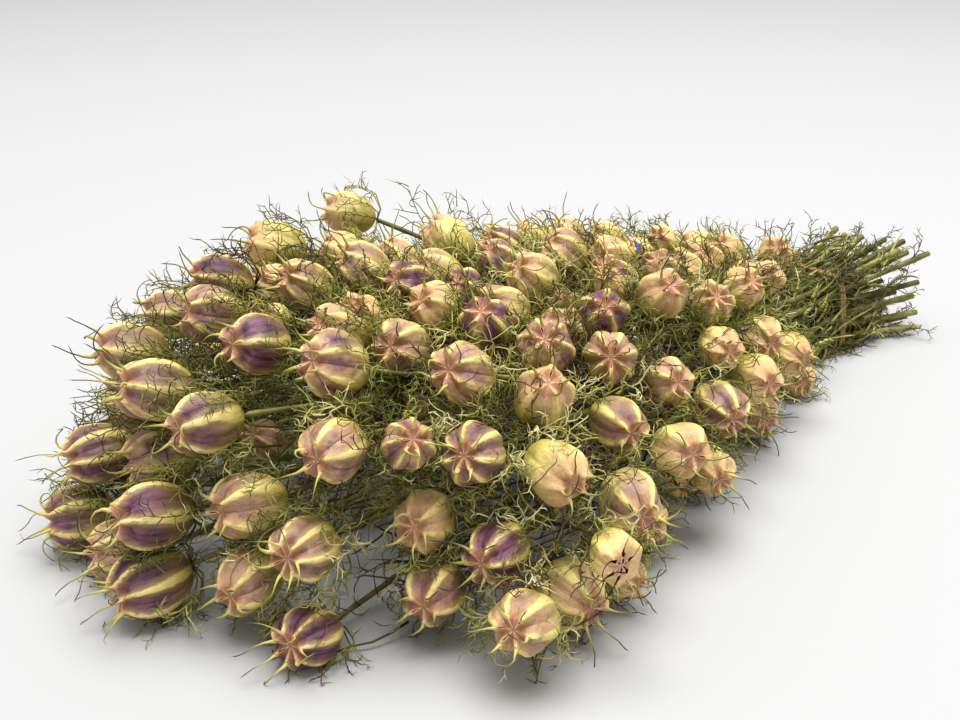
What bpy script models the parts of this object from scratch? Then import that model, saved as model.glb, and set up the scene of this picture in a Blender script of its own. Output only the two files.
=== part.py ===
"""A tied bunch of dried nigella, lying on its side.

Every cut stem is one solid: the stem, its side branches, the ribbed seed pods at their tips with the
styles that stand on each pod's crown, the collar of thread-like bracts behind each pod and the feathery
leaves further down. A loop of twine holds the stems together.

Units are metres, +Z is up and the bunch lies on Z = 0. The stems run along X, the pods towards -X.
"""

import itertools
import math
import random

import bmesh
import bpy
import numpy as np
from mathutils import Vector

MM = 0.001
SEED = 7

# The bunch, measured from the tie.
REACH = 393 * MM  # to the foremost pods, along the middle of the fan
NEAR_DROP = 104 * MM  # how much shorter the stems at the fan's -Y edge are
FAR_DROP = 165 * MM  # and at its +Y edge
FAN_HALF = math.radians(22)
WAIST_HALF = 22 * MM  # from the middle of the tie to its outermost stems
RISE = 200 * MM  # the fan reaches its full height this far in front of the tie
TAIL = 58 * MM  # stems behind the tie
TAIL_FAN = 0.95

# Each layer of stems: name, stems, half its fan, height at the tie, in the fan and at the cut ends.
LAYERS = (
    ("low", 11, math.radians(20.6), 4.4 * MM, 15 * MM, 4 * MM),
    ("mid", 11, math.radians(19.0), 17 * MM, 38 * MM, 20 * MM),
    ("top", 13, math.radians(17.0), 29 * MM, 58 * MM, 40 * MM),
)
STAGGER = 4.6 * MM  # every other stem of a layer lies this much higher
DOME = 0.16  # how much lower each layer lies at the edge of the fan
TURN_SWAY = math.radians(0.35)  # how far a stem strays from its even place in the fan
CUT_SWAY = 3 * MM  # how much higher a cut end may lie than its layer
SHORTEST_TAIL = 0.72
LEADER_SWAY = 4 * MM
LEADER_BACK = {"low": (0, 12 * MM), "mid": (8 * MM, 26 * MM), "top": (26 * MM, 58 * MM)}
RAISED = (12 * MM, 23 * MM)  # leaders of the top layer, above the stems beside them
LEADER_LEAN = {"low": 0.12, "mid": 0.1, "top": 0.3}  # how much a leader points up
AXIS_SWAY = {"leader": 0.2, "top": 0.33, "flank": 0.25}  # how far a pod's axis strays from its row's

# Stems that stray out of the fan: layer, stem, turn from the middle of the fan, reach, height of the pod.
STRAYS = {
    ("low", 10): (math.radians(20.5), 331 * MM, 22 * MM),
    ("mid", 0): (math.radians(-20.5), 236 * MM, 55 * MM),
    ("top", 0): (math.radians(-20.0), 232 * MM, 84 * MM),
}

# Side pods.
ROW_STEP = 27 * MM  # from one row of side pods to the next along the top of the bunch
FIRST_ROW = 62 * MM
LAST_ROW = 318 * MM
ROW_GAP = 26 * MM  # across a row
SIDE_LIFT = 17 * MM  # of a side pod's middle above its stem
# Rows of pods along the bunch's two sides: layer, first, step, turn of the row against the fan's edge,
# height above the stem. The far side has fewer.
FLANKS = (
    ("low", 70 * MM, 58 * MM, math.radians(-1.5), 3 * MM),
    ("mid", 96 * MM, 45 * MM, math.radians(0), 7 * MM),
    ("top", 118 * MM, 45 * MM, math.radians(-3), 4 * MM),
)
FAR_STEP = 1.3
FLANK_END = 18 * MM  # behind the leader
FLANK_SWAY = 5 * MM
ROW_SWAY = 7 * MM
ROW_END = 28 * MM
LEADER_RUN = 78 * MM  # a stem's last stretch, which bears only its leader
FIRST_FORK = 12 * MM  # no branch leaves a stem nearer to the tie
BRANCH_BACKS = (52 * MM, 42 * MM, 62 * MM, 33 * MM, 74 * MM, 25 * MM)  # from a side pod back to its fork
BRANCH_LIFTS = (0, 0.6, 1.2)  # how steeply it leaves the stem
SETTLE_RISES = (0, 1.5 * MM, 3 * MM, 5 * MM, 7 * MM)

# A pod.
POD_WIDTH_NEAR = 17.4 * MM  # beside the tie
POD_WIDTH_FAR = 22.6 * MM  # at the end of the fan
POD_SWAY = (-1.6 * MM, 1.4 * MM)  # from one pod's width to the next
POD_LENGTH = 1.16  # its length as a share of its width
LENGTH_SWAY = (0.95, 1.08)
POD_GAP = 1.2 * MM
GROOVE = 0.92  # radius in a groove as a share of the radius on a rib
HORN = 0.42  # a style's length as a share of the pod's length
HORN_CUTS = (1.0, 0.75, 0.5, 0.3)  # how much of a style or bract is left where a neighbour is in the way
BRACT_CUTS = (1.0, 0.65, 0.35)
REST_TILT = math.radians(12)  # a pod that lies on the floor points this much up
REST_FLAT = 1.1 * MM  # how much of its lowest rib is pressed flat
BELT_RISE = 0.60  # where along a pod it is widest
# The other rings of a pod: how far up it they lie, and their radius as a share of its own.
LOW_RING = (0.22, 0.78)
CROWN_RING = (0.93, 0.40)
CORE_RING = (0.97, 0.22)
POLE_RISE = 0.94
STYLE_ROOT = 0.22  # radians from the middle of a style's root to its edge

# Stems and threads.
STEM_RADIUS = 1.5 * MM
STEM_TIP_RADIUS = 1.0 * MM
BRANCH_RADIUS = 0.9 * MM
NEEDLE_RADIUS = 0.5 * MM
BRACTS = 5
COLLAR_RADIUS = 1.9 * MM
COLLAR_HEIGHT = 1.2 * MM
# The leaf behind the tie: how far along the tail it grows, how long it is and how much of it is kept.
LEAF_PLACE = 0.45
LEAF_REACH = (16 * MM, 26 * MM)
LEAF_CUTS = (1.0, 0.7, 0.45)
CLEAR = 0.4 * MM  # least gap between one stem's solid and the next

TWINE_THICK = 2.6 * MM
TWINE_BAND = 4.2 * MM  # two turns side by side
TWINE_POINTS = 22
TWINE_SIDES = 6

HUSK = (0.62, 0.50, 0.24, 1.0)
HUSK_ROUGHNESS = 0.62
JUTE = (0.50, 0.37, 0.20, 1.0)
JUTE_ROUGHNESS = 0.9

RESTING = (("low", 1), ("low", 5), ("low", 8))  # the leaders that carry the bunch


def ease(t):
    """0 to 1, starting and ending level."""
    t = min(max(t, 0.0), 1.0)
    return t * t * (3 - 2 * t)


def reach_at(turn):
    """How far the fan reaches in this direction from the tie."""
    return REACH - (NEAR_DROP if turn > 0 else FAR_DROP) * (turn / FAN_HALF) ** 2


def ahead(turn):
    """The direction of a stem that leaves the tie at this turn."""
    return Vector((-math.cos(turn), -math.sin(turn), 0))


def aside(turn):
    """Across the stem, to the side of growing turn."""
    return Vector((math.sin(turn), -math.cos(turn), 0))


def on_run(stem, d):
    """The stem's own place at a distance d in front of the tie, or behind it where d is negative."""
    turn = stem["turn"]
    share = turn / FAN_HALF
    spread = d * math.sin(turn) if d > 0 else -d * math.sin(turn) * TAIL_FAN
    if d > 0:
        level = stem["far_height"] * (1 - DOME * share * share)
        height = stem["tie_height"] + (level - stem["tie_height"]) * ease(d / RISE)
    else:
        height = stem["tie_height"] + (stem["cut_height"] - stem["tie_height"]) * ease(-d / TAIL)
    return Vector((-d * math.cos(turn), -(WAIST_HALF * share + spread), height))


def make_stems(rng):
    """The stems with the pods that they carry, before the pods make room for each other."""
    stems = []
    for layer, count, half, tie_height, far_height, cut_height in LAYERS:
        for k in range(count):
            turn = -half + 2 * half * (k + 0.5) / count + rng.uniform(-1, 1) * TURN_SWAY
            stem = {
                "name": f"stem_{layer}_{k + 1:02d}",
                "layer": layer,
                "turn": turn,
                "tie_height": tie_height + k % 2 * STAGGER,
                "far_height": far_height + k % 2 * STAGGER,
                "cut_height": cut_height + k % 2 * STAGGER + rng.uniform(0, CUT_SWAY),
                "tail": TAIL * rng.uniform(SHORTEST_TAIL, 1.0),
                "pods": [],
            }
            back = LEADER_BACK[layer][k % 2] + rng.uniform(-1, 1) * LEADER_SWAY
            heading = turn
            distance = reach_at(turn) - back
            height = on_run(stem, distance).z
            if layer == "top":
                height += RAISED[k % 2]
            if (layer, k) in STRAYS:
                heading, distance, height = STRAYS[layer, k]
            add_pod(stem, rng, heading, distance, height, "leader", (layer, k) in RESTING)
            stems.append(stem)
    add_side_pods([s for s in stems if s["layer"] == "top"], rng)
    for layer, first, step, outward, lift in FLANKS:
        row = [s for s in stems if s["layer"] == layer]
        add_flank_pods(row[0], -1, first, step * FAR_STEP, outward, lift, rng)
        add_flank_pods(row[-1], 1, first, step, outward, lift, rng)
    return stems


def add_pod(stem, rng, heading, distance, height, place, resting=False):
    """One pod on the stem: a leader at its end, one on top of the bunch, or one on its flank."""
    share = heading / FAN_HALF
    grown = distance / REACH
    width = POD_WIDTH_NEAR + (POD_WIDTH_FAR - POD_WIDTH_NEAR) * grown + rng.uniform(*POD_SWAY)
    up = Vector((0, 0, 1))
    forward, side = ahead(heading), aside(heading)
    if place == "leader":
        axis = forward + side * share * 0.35 + up * LEADER_LEAN[stem["layer"]]
    elif place == "top":
        axis = forward * (0.45 + 0.4 * grown) + side * share * 0.75 + up * 0.62
    else:
        axis = forward * 0.55 + side * math.copysign(0.85, share) + up * 0.15
    axis += Vector((rng.uniform(-1, 1), rng.uniform(-1, 1), rng.uniform(-1, 1))) * AXIS_SWAY[place]
    roll = rng.uniform(0, math.tau)
    length = width * POD_LENGTH * rng.uniform(*LENGTH_SWAY)
    if resting:
        level = Vector((axis.x, axis.y, 0)).normalized()
        axis = level * math.cos(REST_TILT) + up * math.sin(REST_TILT)
        roll = math.pi / 2
        belt = (BELT_RISE - 0.5) * length * math.sin(REST_TILT)
        height = width / 2 * math.cos(REST_TILT) - belt - REST_FLAT
    base = Vector((0, -WAIST_HALF * share * min(1.0, distance / (60 * MM)), 0))
    centre = base + forward * distance + up * height
    stem["pods"].append(
        {
            "place": place,
            "resting": resting,
            "centre": centre,
            "axis": axis.normalized(),
            "width": width,
            "length": length,
            "ribs": rng.choice((5, 5, 5, 6, 6, 7)),
            "roll": roll,
            "distance": distance,
        }
    )


def add_side_pods(row, rng):
    """Rows of pods over the top of the bunch. Near the tie fewer stems have room for one."""
    count = len(row)
    spacing = row[1]["turn"] - row[0]["turn"]
    distance, rank = FIRST_ROW, 0
    while distance < LAST_ROW:
        across = spacing * distance + 2 * WAIST_HALF / count
        step = max(1, math.ceil(ROW_GAP / across))
        for k in range(rank * ((step + 1) // 2) % step, count, step):
            stem = row[k]
            at = distance + rng.uniform(-1, 1) * ROW_SWAY
            if at < stem["pods"][0]["distance"] - ROW_END:
                height = on_run(stem, at).z + SIDE_LIFT
                add_pod(stem, rng, stem["turn"], at, height, "top")
        distance += ROW_STEP
        rank += 1


def add_flank_pods(stem, side, first, step, outward, lift, rng):
    """Pods that hang out of the bunch's side."""
    at = first
    while at < stem["pods"][0]["distance"] - FLANK_END:
        height = on_run(stem, at).z + lift
        add_pod(stem, rng, side * (FAN_HALF + outward), at, height, "flank")
        at += step + rng.uniform(-1, 1) * FLANK_SWAY


def make_room(stems):
    """Pushes overlapping pods apart, each taken as two balls along its axis, and keeps them above the
    floor and above the stems under them."""
    pods = [pod for stem in stems for pod in stem["pods"]]
    count = len(pods)
    place = np.array([pod["centre"] for pod in pods])
    radius = np.array([pod["width"] / 2 for pod in pods])
    arm = np.array([pod["axis"] * (pod["length"] - pod["width"]) / 2 for pod in pods])
    fixed = np.array([pod["resting"] for pod in pods])
    least = radius + np.abs(arm[:, 2]) + 0.8 * MM
    for i, pod in enumerate(pods):
        if pod["place"] == "top":
            least[i] = place[i][2] - SIDE_LIFT + radius[i] + 4.2 * MM
    owner = np.tile(np.arange(count), 2)
    reach = np.tile(radius, 2)
    apart = (reach[:, None] + reach[None, :] + POD_GAP) * (owner[:, None] != owner[None, :])
    for _ in range(200):
        balls = np.concatenate([place - arm, place + arm])
        gap = balls[:, None, :] - balls[None, :, :]
        far = np.linalg.norm(gap, axis=2) + np.eye(2 * count)
        push = np.maximum(apart - far, 0) * 0.2
        shift = (gap / far[:, :, None] * push[:, :, None]).sum(axis=1)
        shift = shift[:count] + shift[count:]
        shift[fixed] = 0
        place += shift
        place[~fixed, 2] = np.maximum(place[~fixed, 2], least[~fixed])
    for pod, at in zip(pods, place):
        pod["centre"] = Vector(at)


def curve_between(start, leave, end, arrive, steps):
    """Points on a smooth curve from start, heading along leave, to end, arriving along arrive."""
    points = []
    for i in range(steps + 1):
        t = i / steps
        a = 2 * t**3 - 3 * t**2 + 1
        b = t**3 - 2 * t**2 + t
        c = -2 * t**3 + 3 * t**2
        d = t**3 - t**2
        points.append(start * a + leave * b + end * c + arrive * d)
    return points


def pod_base(pod):
    return pod["centre"] - pod["axis"] * pod["length"] * 0.5


def pod_ends(pod):
    """The middles of the two balls that a pod is taken as."""
    half = pod["axis"] * (pod["length"] - pod["width"]) / 2
    return [pod["centre"] - half, pod["centre"] + half]


def route_trunks(stems):
    """Gives each stem its path from the cut end to its leader."""
    for stem in stems:
        leader = stem["pods"][0]
        end = pod_base(leader) - leader["axis"] * COLLAR_HEIGHT
        turning = leader["distance"] - LEADER_RUN
        tail = [on_run(stem, -stem["tail"])]
        run = [on_run(stem, turning * share) for share in (0, 0.25, 0.55)]
        start = on_run(stem, turning)
        leave = (on_run(stem, turning + 5 * MM) - start).normalized() * (end - start).length
        final = curve_between(start, leave, end, leader["axis"] * (end - start).length * 0.8, 3)
        stem["path"] = tail + run + final


def settle_side_pods(stem, room):
    """Gives each side pod its place and its branch. It rises a little where something is in its way, and
    is left out where that isn't enough."""
    bars = room.beside(stem["name"])
    stem["pods"] = [pod for pod in stem["pods"] if pod["place"] == "leader" or settle(stem, pod, bars, room)]


def settle(stem, pod, bars, room):
    wanted = pod["centre"]
    for rise in SETTLE_RISES:
        pod["centre"] = wanted + Vector((0, 0, rise))
        if not is_clear(bars, pod_ends(pod), pod["width"] / 2):
            continue
        for lift, back in itertools.product(BRANCH_LIFTS, BRANCH_BACKS):
            path = branch_path(stem, pod, lift, back)
            if is_clear(bars, path, BRANCH_RADIUS * 0.8):
                pod["path"] = path
                room.claim(stem["name"], path, BRANCH_RADIUS * 1.1)
                room.claim(stem["name"], pod_ends(pod), pod["width"] / 2)
                return True
    return False


def branch_path(stem, pod, lift, back):
    tip = pod_base(pod) - pod["axis"] * COLLAR_HEIGHT
    d = min(max(pod["distance"] - back, FIRST_FORK), stem["pods"][0]["distance"] - LEADER_RUN)
    start = on_chord(stem["path"], d)
    leave = (ahead(stem["turn"]) + Vector((0, 0, lift))).normalized()
    span = (tip - start).length
    return curve_between(start, leave * span * 0.9, tip, pod["axis"] * span * 0.7, 3)


def on_chord(path, d):
    """The place at this distance in front of the tie on the stem as it is built, in straight lengths."""
    for a, b in zip(path, path[1:]):
        if a.x >= -d >= b.x:
            return a.lerp(b, (a.x + d) / (a.x - b.x))
    return path[-1]


def frame_round(axis, roll):
    """Two directions across an axis, turned about it by roll."""
    helper = Vector((0, 0, 1)) if abs(axis.z) < 0.9 else Vector((1, 0, 0))
    u = axis.cross(helper).normalized()
    v = axis.cross(u).normalized()
    return u * math.cos(roll) + v * math.sin(roll), v * math.cos(roll) - u * math.sin(roll)


class Room:
    """What the other stems already fill, as round bars, so that threads and styles can keep clear of it."""

    def __init__(self):
        self.starts, self.ends, self.radii, self.owners = [], [], [], []

    def claim(self, owner, points, radius):
        for a, b in zip(points, points[1:]):
            self.starts.append(a)
            self.ends.append(b)
            self.radii.append(radius)
            self.owners.append(owner)

    def beside(self, owner):
        """The bars of every stem but this one."""
        others = [i for i, o in enumerate(self.owners) if o != owner]
        starts = np.array([self.starts[i] for i in others])
        ends = np.array([self.ends[i] for i in others])
        return starts, ends, np.array([self.radii[i] for i in others])


def is_clear(bars, points, radius):
    """Whether a thread along these points misses every bar and the floor."""
    starts, ends, radii = bars
    runs = ends - starts
    lengths = (runs**2).sum(axis=1)
    for a, b in zip(points, points[1:]):
        for share in (0.0, 0.25, 0.5, 0.75, 1.0):
            p = np.array(a.lerp(b, share))
            if p[2] < radius:
                return False
            along = np.clip(((p - starts) * runs).sum(axis=1) / lengths, 0, 1)
            gap = np.linalg.norm(starts + runs * along[:, None] - p, axis=1) - radii
            if gap.min() < radius + CLEAR:
                return False
    return True


def claim_bodies(stems):
    room = Room()
    for stem in stems:
        room.claim(stem["name"], stem["path"], STEM_RADIUS * 1.1)
        leader = stem["pods"][0]
        room.claim(stem["name"], pod_ends(leader), leader["width"] / 2)
    ring = [at for at, out in twine_round(stems)]
    room.claim("tie", ring + ring[:1], TWINE_BAND / 2)
    return room


def mesh_object(name, points, faces):
    mesh = bpy.data.meshes.new(name)
    mesh.from_pydata([tuple(p) for p in points], [], faces)
    bm = bmesh.new()
    bm.from_mesh(mesh)
    bmesh.ops.recalc_face_normals(bm, faces=bm.faces)
    bm.to_mesh(mesh)
    bm.free()
    made = bpy.data.objects.new(name, mesh)
    bpy.context.scene.collection.objects.link(made)
    return made


def rings_along(path, radii, sides):
    """The points of a tube along the path, ring by ring."""
    points = []
    u, v = frame_round((path[1] - path[0]).normalized(), 0)
    for i, at in enumerate(path):
        ahead_of = (path[min(i + 1, len(path) - 1)] - path[max(i - 1, 0)]).normalized()
        u = (u - ahead_of * u.dot(ahead_of)).normalized()
        v = ahead_of.cross(u)
        for s in range(sides):
            turn = math.tau * s / sides
            points.append(at + (u * math.cos(turn) + v * math.sin(turn)) * radii[i])
    return points


def skin_along(rings, sides):
    """The faces of such a tube, closed at its root and open at its far end."""
    faces = [tuple(range(sides))]
    for i in range(rings - 1):
        for s in range(sides):
            a, b = i * sides + s, i * sides + (s + 1) % sides
            faces.append((a, b, b + sides, a + sides))
    return faces


def needle(name, root, tip, radius):
    """A straight three-sided thread that ends in a point."""
    u, v = frame_round((tip - root).normalized(), 0)
    turns = (0, math.tau / 3, -math.tau / 3)
    points = [root + (u * math.cos(turn) + v * math.sin(turn)) * radius for turn in turns]
    faces = [(0, 1, 2), (0, 3, 1), (1, 3, 2), (2, 3, 0)]
    return mesh_object(name, points + [tip], faces)


def bridge(lower, upper, points, turn_of):
    """Triangles between two rings with different numbers of points: those that stand on the lower ring's
    edges, and those that hang from the upper ring's edges."""
    lower = sorted(lower, key=lambda i: turn_of(points[i]))
    upper = sorted(upper, key=lambda i: turn_of(points[i]))
    standing, hanging = [], []
    i = j = 0

    def turn_at(ring, k):
        return turn_of(points[ring[k % len(ring)]]) + (math.tau if k >= len(ring) else 0)

    while i < len(lower) or j < len(upper):
        a, b = lower[i % len(lower)], upper[j % len(upper)]
        if j == len(upper) or (i < len(lower) and turn_at(lower, i + 1) < turn_at(upper, j + 1)):
            i += 1
            standing.append((a, lower[i % len(lower)], b))
        else:
            j += 1
            hanging.append((a, b, upper[j % len(upper)]))
    return standing, hanging


def horn_tips(pod, bars):
    """The tips of a pod's styles, shortened where a neighbour is in the way."""
    u, v = frame_round(pod["axis"], pod["roll"])
    top = pod_base(pod) + pod["axis"] * pod["length"] * 0.95
    tips = []
    for k in range(pod["ribs"]):
        turn = math.tau * k / pod["ribs"]
        out = u * math.cos(turn) + v * math.sin(turn)
        root = top + out * pod["width"] * 0.17
        for share in HORN_CUTS:
            reach = pod["length"] * HORN * share
            tip = root + pod["axis"] * reach * 0.86 + out * reach * 0.5
            if is_clear(bars, [root, tip], 0.3 * MM):
                break
        tips.append(tip)
    return tips


def bract_paths(pod, bars, rng):
    """Where each bract of the collar runs: out from the stem and up round the pod, off its skin."""
    u, v = frame_round(pod["axis"], pod["roll"])
    base = pod_base(pod)
    half = pod["width"] / 2
    paths = []
    for k in range(BRACTS):
        turn = math.tau * (k + 0.5) / BRACTS
        out = u * math.cos(turn) + v * math.sin(turn)
        stand = rng.uniform(2.2, 4.5) * MM
        reach = rng.uniform(0.55, 0.85)
        for share in BRACT_CUTS:
            middle = base + out * (half * 0.74 + stand * share * 0.7) + pod["axis"] * pod["length"] * 0.08
            tip = base + out * (half + stand * share * 1.2) + pod["axis"] * pod["length"] * reach * share
            if is_clear(bars, [base + out * COLLAR_RADIUS, middle, tip], NEEDLE_RADIUS * 1.2):
                break
        else:
            middle = base + out * (COLLAR_RADIUS + 0.9 * MM) - pod["axis"] * 0.5 * MM
            tip = base + out * (COLLAR_RADIUS + 2.4 * MM) + pod["axis"] * 0.2 * MM
        paths.append((out, middle, tip))
    return paths


def shoot(name, path, radii, sides, pod, tips, bracts):
    """A stem or branch with the pod at its end: the stem widens into a collar that bears the bracts, and
    then into the pod, whose rings of ribs and grooves run up to the crown, with a style on each rib."""
    n = pod["ribs"]
    u, v = frame_round(pod["axis"], pod["roll"])
    base = pod_base(pod)
    half = pod["width"] / 2

    def at(rise, radius, turn):
        out = u * math.cos(turn) + v * math.sin(turn)
        return base + pod["axis"] * pod["length"] * rise + out * radius

    def on_ring(ring, turn):
        return at(ring[0], half * ring[1], turn)

    def turn_of(point):
        away = point - base
        return math.atan2(away.dot(v), away.dot(u)) % math.tau

    points = rings_along(path, radii, sides)
    faces = skin_along(len(path), sides)
    neck = list(range(len(points) - sides, len(points)))
    collar = list(range(len(points), len(points) + BRACTS))
    points += [at(0, COLLAR_RADIUS, math.tau * k / BRACTS) for k in range(BRACTS)]
    step = math.tau / n
    low = len(points)
    points += [on_ring(LOW_RING, k * step) for k in range(n)]
    belt = len(points)
    for k in range(n):
        points.append(at(BELT_RISE, half, k * step))
        points.append(at(BELT_RISE, half * GROOVE, (k + 0.5) * step))
    crown = len(points)
    for k in range(n):
        points.append(on_ring(CROWN_RING, k * step - STYLE_ROOT))
        points.append(on_ring(CROWN_RING, k * step + STYLE_ROOT))
    inner = len(points)
    points += [on_ring(CORE_RING, k * step) for k in range(n)]
    first_tip = len(points)
    points += tips
    pole = len(points)
    points.append(at(POLE_RISE, 0, 0))

    standing, hanging = bridge(neck, collar, points, turn_of)
    faces += standing
    for stem_side, left, right in hanging:
        out, middle, tip = bracts[collar.index(left)]
        across = pod["axis"].cross(out).normalized()
        under = (tip - base).normalized().cross(across).normalized()
        if under.dot(pod["axis"]) > 0:
            under = -under
        thick = NEEDLE_RADIUS * 1.2
        a, b, c, d = range(len(points), len(points) + 4)
        points += [middle + under * thick, middle - across * thick, middle + across * thick, tip]
        faces += [(stem_side, left, b, a), (left, right, c, b), (right, stem_side, a, c)]
        faces += [(a, b, d), (b, c, d), (c, a, d)]
    standing, hanging = bridge(collar, list(range(low, low + n)), points, turn_of)
    faces += standing + hanging
    for k in range(n):
        after = (k + 1) % n
        rib, groove, next_rib = belt + 2 * k, belt + 2 * k + 1, belt + 2 * after
        faces += [(low + k, rib, groove), (low + k, groove, low + after), (low + after, groove, next_rib)]
        left, right, next_left = crown + 2 * k, crown + 2 * k + 1, crown + 2 * after
        faces += [(rib, left, right), (rib, right, groove)]
        faces += [(groove, right, next_left), (groove, next_left, next_rib)]
        core, next_core, tip = inner + k, inner + after, first_tip + k
        faces += [(right, core, next_left), (core, next_core, next_left), (core, pole, next_core)]
        faces += [(left, tip, right), (right, tip, core), (core, tip, left)]
    made = mesh_object(name, points, faces)
    if pod["resting"]:
        cut_level(made)
    return made


def cut_level(made):
    """Cuts off what is below the floor, leaving a flat spot."""
    bm = bmesh.new()
    bm.from_mesh(made.data)
    everything = bm.verts[:] + bm.edges[:] + bm.faces[:]
    bmesh.ops.bisect_plane(
        bm, geom=everything, dist=1e-6, plane_co=(0, 0, 0), plane_no=(0, 0, 1), clear_inner=True
    )
    rim = [edge for edge in bm.edges if edge.is_boundary]
    bmesh.ops.edgeloop_fill(bm, edges=rim)
    bmesh.ops.recalc_face_normals(bm, faces=bm.faces)
    bm.to_mesh(made.data)
    bm.free()


def leaf_path(stem, bars, rng):
    """The root and tip of the feathery leaf behind the tie, or None where a neighbour leaves no room."""
    start = on_run(stem, -stem["tail"] * LEAF_PLACE)
    along = (on_run(stem, -stem["tail"]) - on_run(stem, 0)).normalized()
    u, v = frame_round(along, rng.uniform(0, math.tau))
    reach = rng.uniform(*LEAF_REACH)
    for share in LEAF_CUTS:
        tip = start + along * reach * share * 0.75 + u * reach * share * 0.95
        if is_clear(bars, [start + u * STEM_RADIUS, tip], NEEDLE_RADIUS):
            return [start, tip]
    return None


def build_stem(stem, room, rng):
    """One solid for the stem and all that grows on it."""
    bars = room.beside(stem["name"])
    grown = bpy.data.collections.new(stem["name"] + "_grown")
    parts = []
    for k, pod in enumerate(stem["pods"]):
        tips = horn_tips(pod, bars)
        bracts = bract_paths(pod, bars, rng)
        for tip in tips:
            room.claim(stem["name"], [pod["centre"], tip], 0.6 * MM)
        for out, middle, tip in bracts:
            room.claim(stem["name"], [pod_base(pod), middle, tip], NEEDLE_RADIUS * 1.2)
        if pod["place"] == "leader":
            path, last = stem["path"], len(stem["path"]) - 1
            radii = [STEM_RADIUS + (STEM_TIP_RADIUS - STEM_RADIUS) * i / last for i in range(last + 1)]
            trunk = shoot(stem["name"], path, radii, 4, pod, tips, bracts)
        else:
            path = pod["path"]
            radii = [BRANCH_RADIUS * 0.7] + [BRANCH_RADIUS] * (len(path) - 1)
            parts.append(shoot(f"side_{k}", path, radii, 3, pod, tips, bracts))
    leaf = leaf_path(stem, bars, rng)
    if leaf:
        parts.append(needle("leaf", *leaf, NEEDLE_RADIUS * 1.3))
        room.claim(stem["name"], leaf, NEEDLE_RADIUS * 1.3)
    for part in parts:
        bpy.context.scene.collection.objects.unlink(part)
        grown.objects.link(part)
    if parts:
        join(trunk, grown, parts)
    return trunk


def join(trunk, grown, parts):
    """One Boolean union of a stem with everything in its collection, applied."""
    union = trunk.modifiers.new("grown together", "BOOLEAN")
    union.operation = "UNION"
    union.operand_type = "COLLECTION"
    union.solver = "MANIFOLD"
    union.collection = grown
    ready = trunk.evaluated_get(bpy.context.evaluated_depsgraph_get())
    solid = bpy.data.meshes.new_from_object(ready)
    trunk.modifiers.clear()
    trunk.data = solid
    for part in parts:
        bpy.data.objects.remove(part)
    bpy.data.collections.remove(grown)


def twine_round(stems):
    """The middle of the twine, pulled tight round the stems' outline at the waist, and the way out there."""
    slack = STEM_RADIUS * 1.15 + CLEAR + TWINE_BAND / 2 * math.tan(FAN_HALF)
    waist = [on_run(stem, 0) for stem in stems]
    ring = []
    for i in range(TWINE_POINTS):
        turn = math.tau * (i + 0.5) / TWINE_POINTS
        out = Vector((0, math.cos(turn), math.sin(turn)))
        touched = max(waist, key=out.dot)
        ring.append((touched + out * (slack + TWINE_THICK / 2), out))
    return ring


def build_tie(stems):
    points, faces = [], []
    sides = TWINE_SIDES
    for at, out in twine_round(stems):
        for s in range(sides):
            lean = math.tau * (s + 0.5) / sides
            along = Vector((1, 0, 0)) * math.cos(lean) * TWINE_BAND / 2
            points.append(at + along + out * math.sin(lean) * TWINE_THICK / 2)
    for i in range(TWINE_POINTS):
        after = (i + 1) % TWINE_POINTS
        for s in range(sides):
            a, b = i * sides + s, i * sides + (s + 1) % sides
            faces.append((a, b, after * sides + (s + 1) % sides, after * sides + s))
    made = mesh_object("tie", points, faces)
    cut_level(made)
    return made


def material(name, colour, roughness):
    made = bpy.data.materials.new(name)
    made.use_nodes = True
    shader = made.node_tree.nodes["Principled BSDF"]
    shader.inputs["Base Color"].default_value = colour
    shader.inputs["Roughness"].default_value = roughness
    shader.inputs["Metallic"].default_value = 0.0
    return made


def centre_on_floor(pieces):
    """Moves the meshes so that the bunch stands centred on the origin."""
    corners = np.array([tuple(v.co) for piece in pieces for v in piece.data.vertices])
    middle = (corners.min(axis=0) + corners.max(axis=0)) / 2
    for piece in pieces:
        for v in piece.data.vertices:
            v.co.x -= middle[0]
            v.co.y -= middle[1]
        piece.data.update()


def main():
    for old in list(bpy.data.objects):
        bpy.data.objects.remove(old)
    rng = random.Random(SEED)
    stems = make_stems(rng)
    make_room(stems)
    route_trunks(stems)
    room = claim_bodies(stems)
    for stem in stems:
        settle_side_pods(stem, room)
    pieces = []
    for stem in stems:
        made = build_stem(stem, room, rng)
        made.data.materials.clear()
        made.data.materials.append(material(stem["name"] + "_husk", HUSK, HUSK_ROUGHNESS))
        pieces.append(made)
    tie = build_tie(stems)
    tie.data.materials.append(material("jute", JUTE, JUTE_ROUGHNESS))
    pieces.append(tie)
    centre_on_floor(pieces)


main()
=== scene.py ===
import itertools
import math
import random

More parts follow.
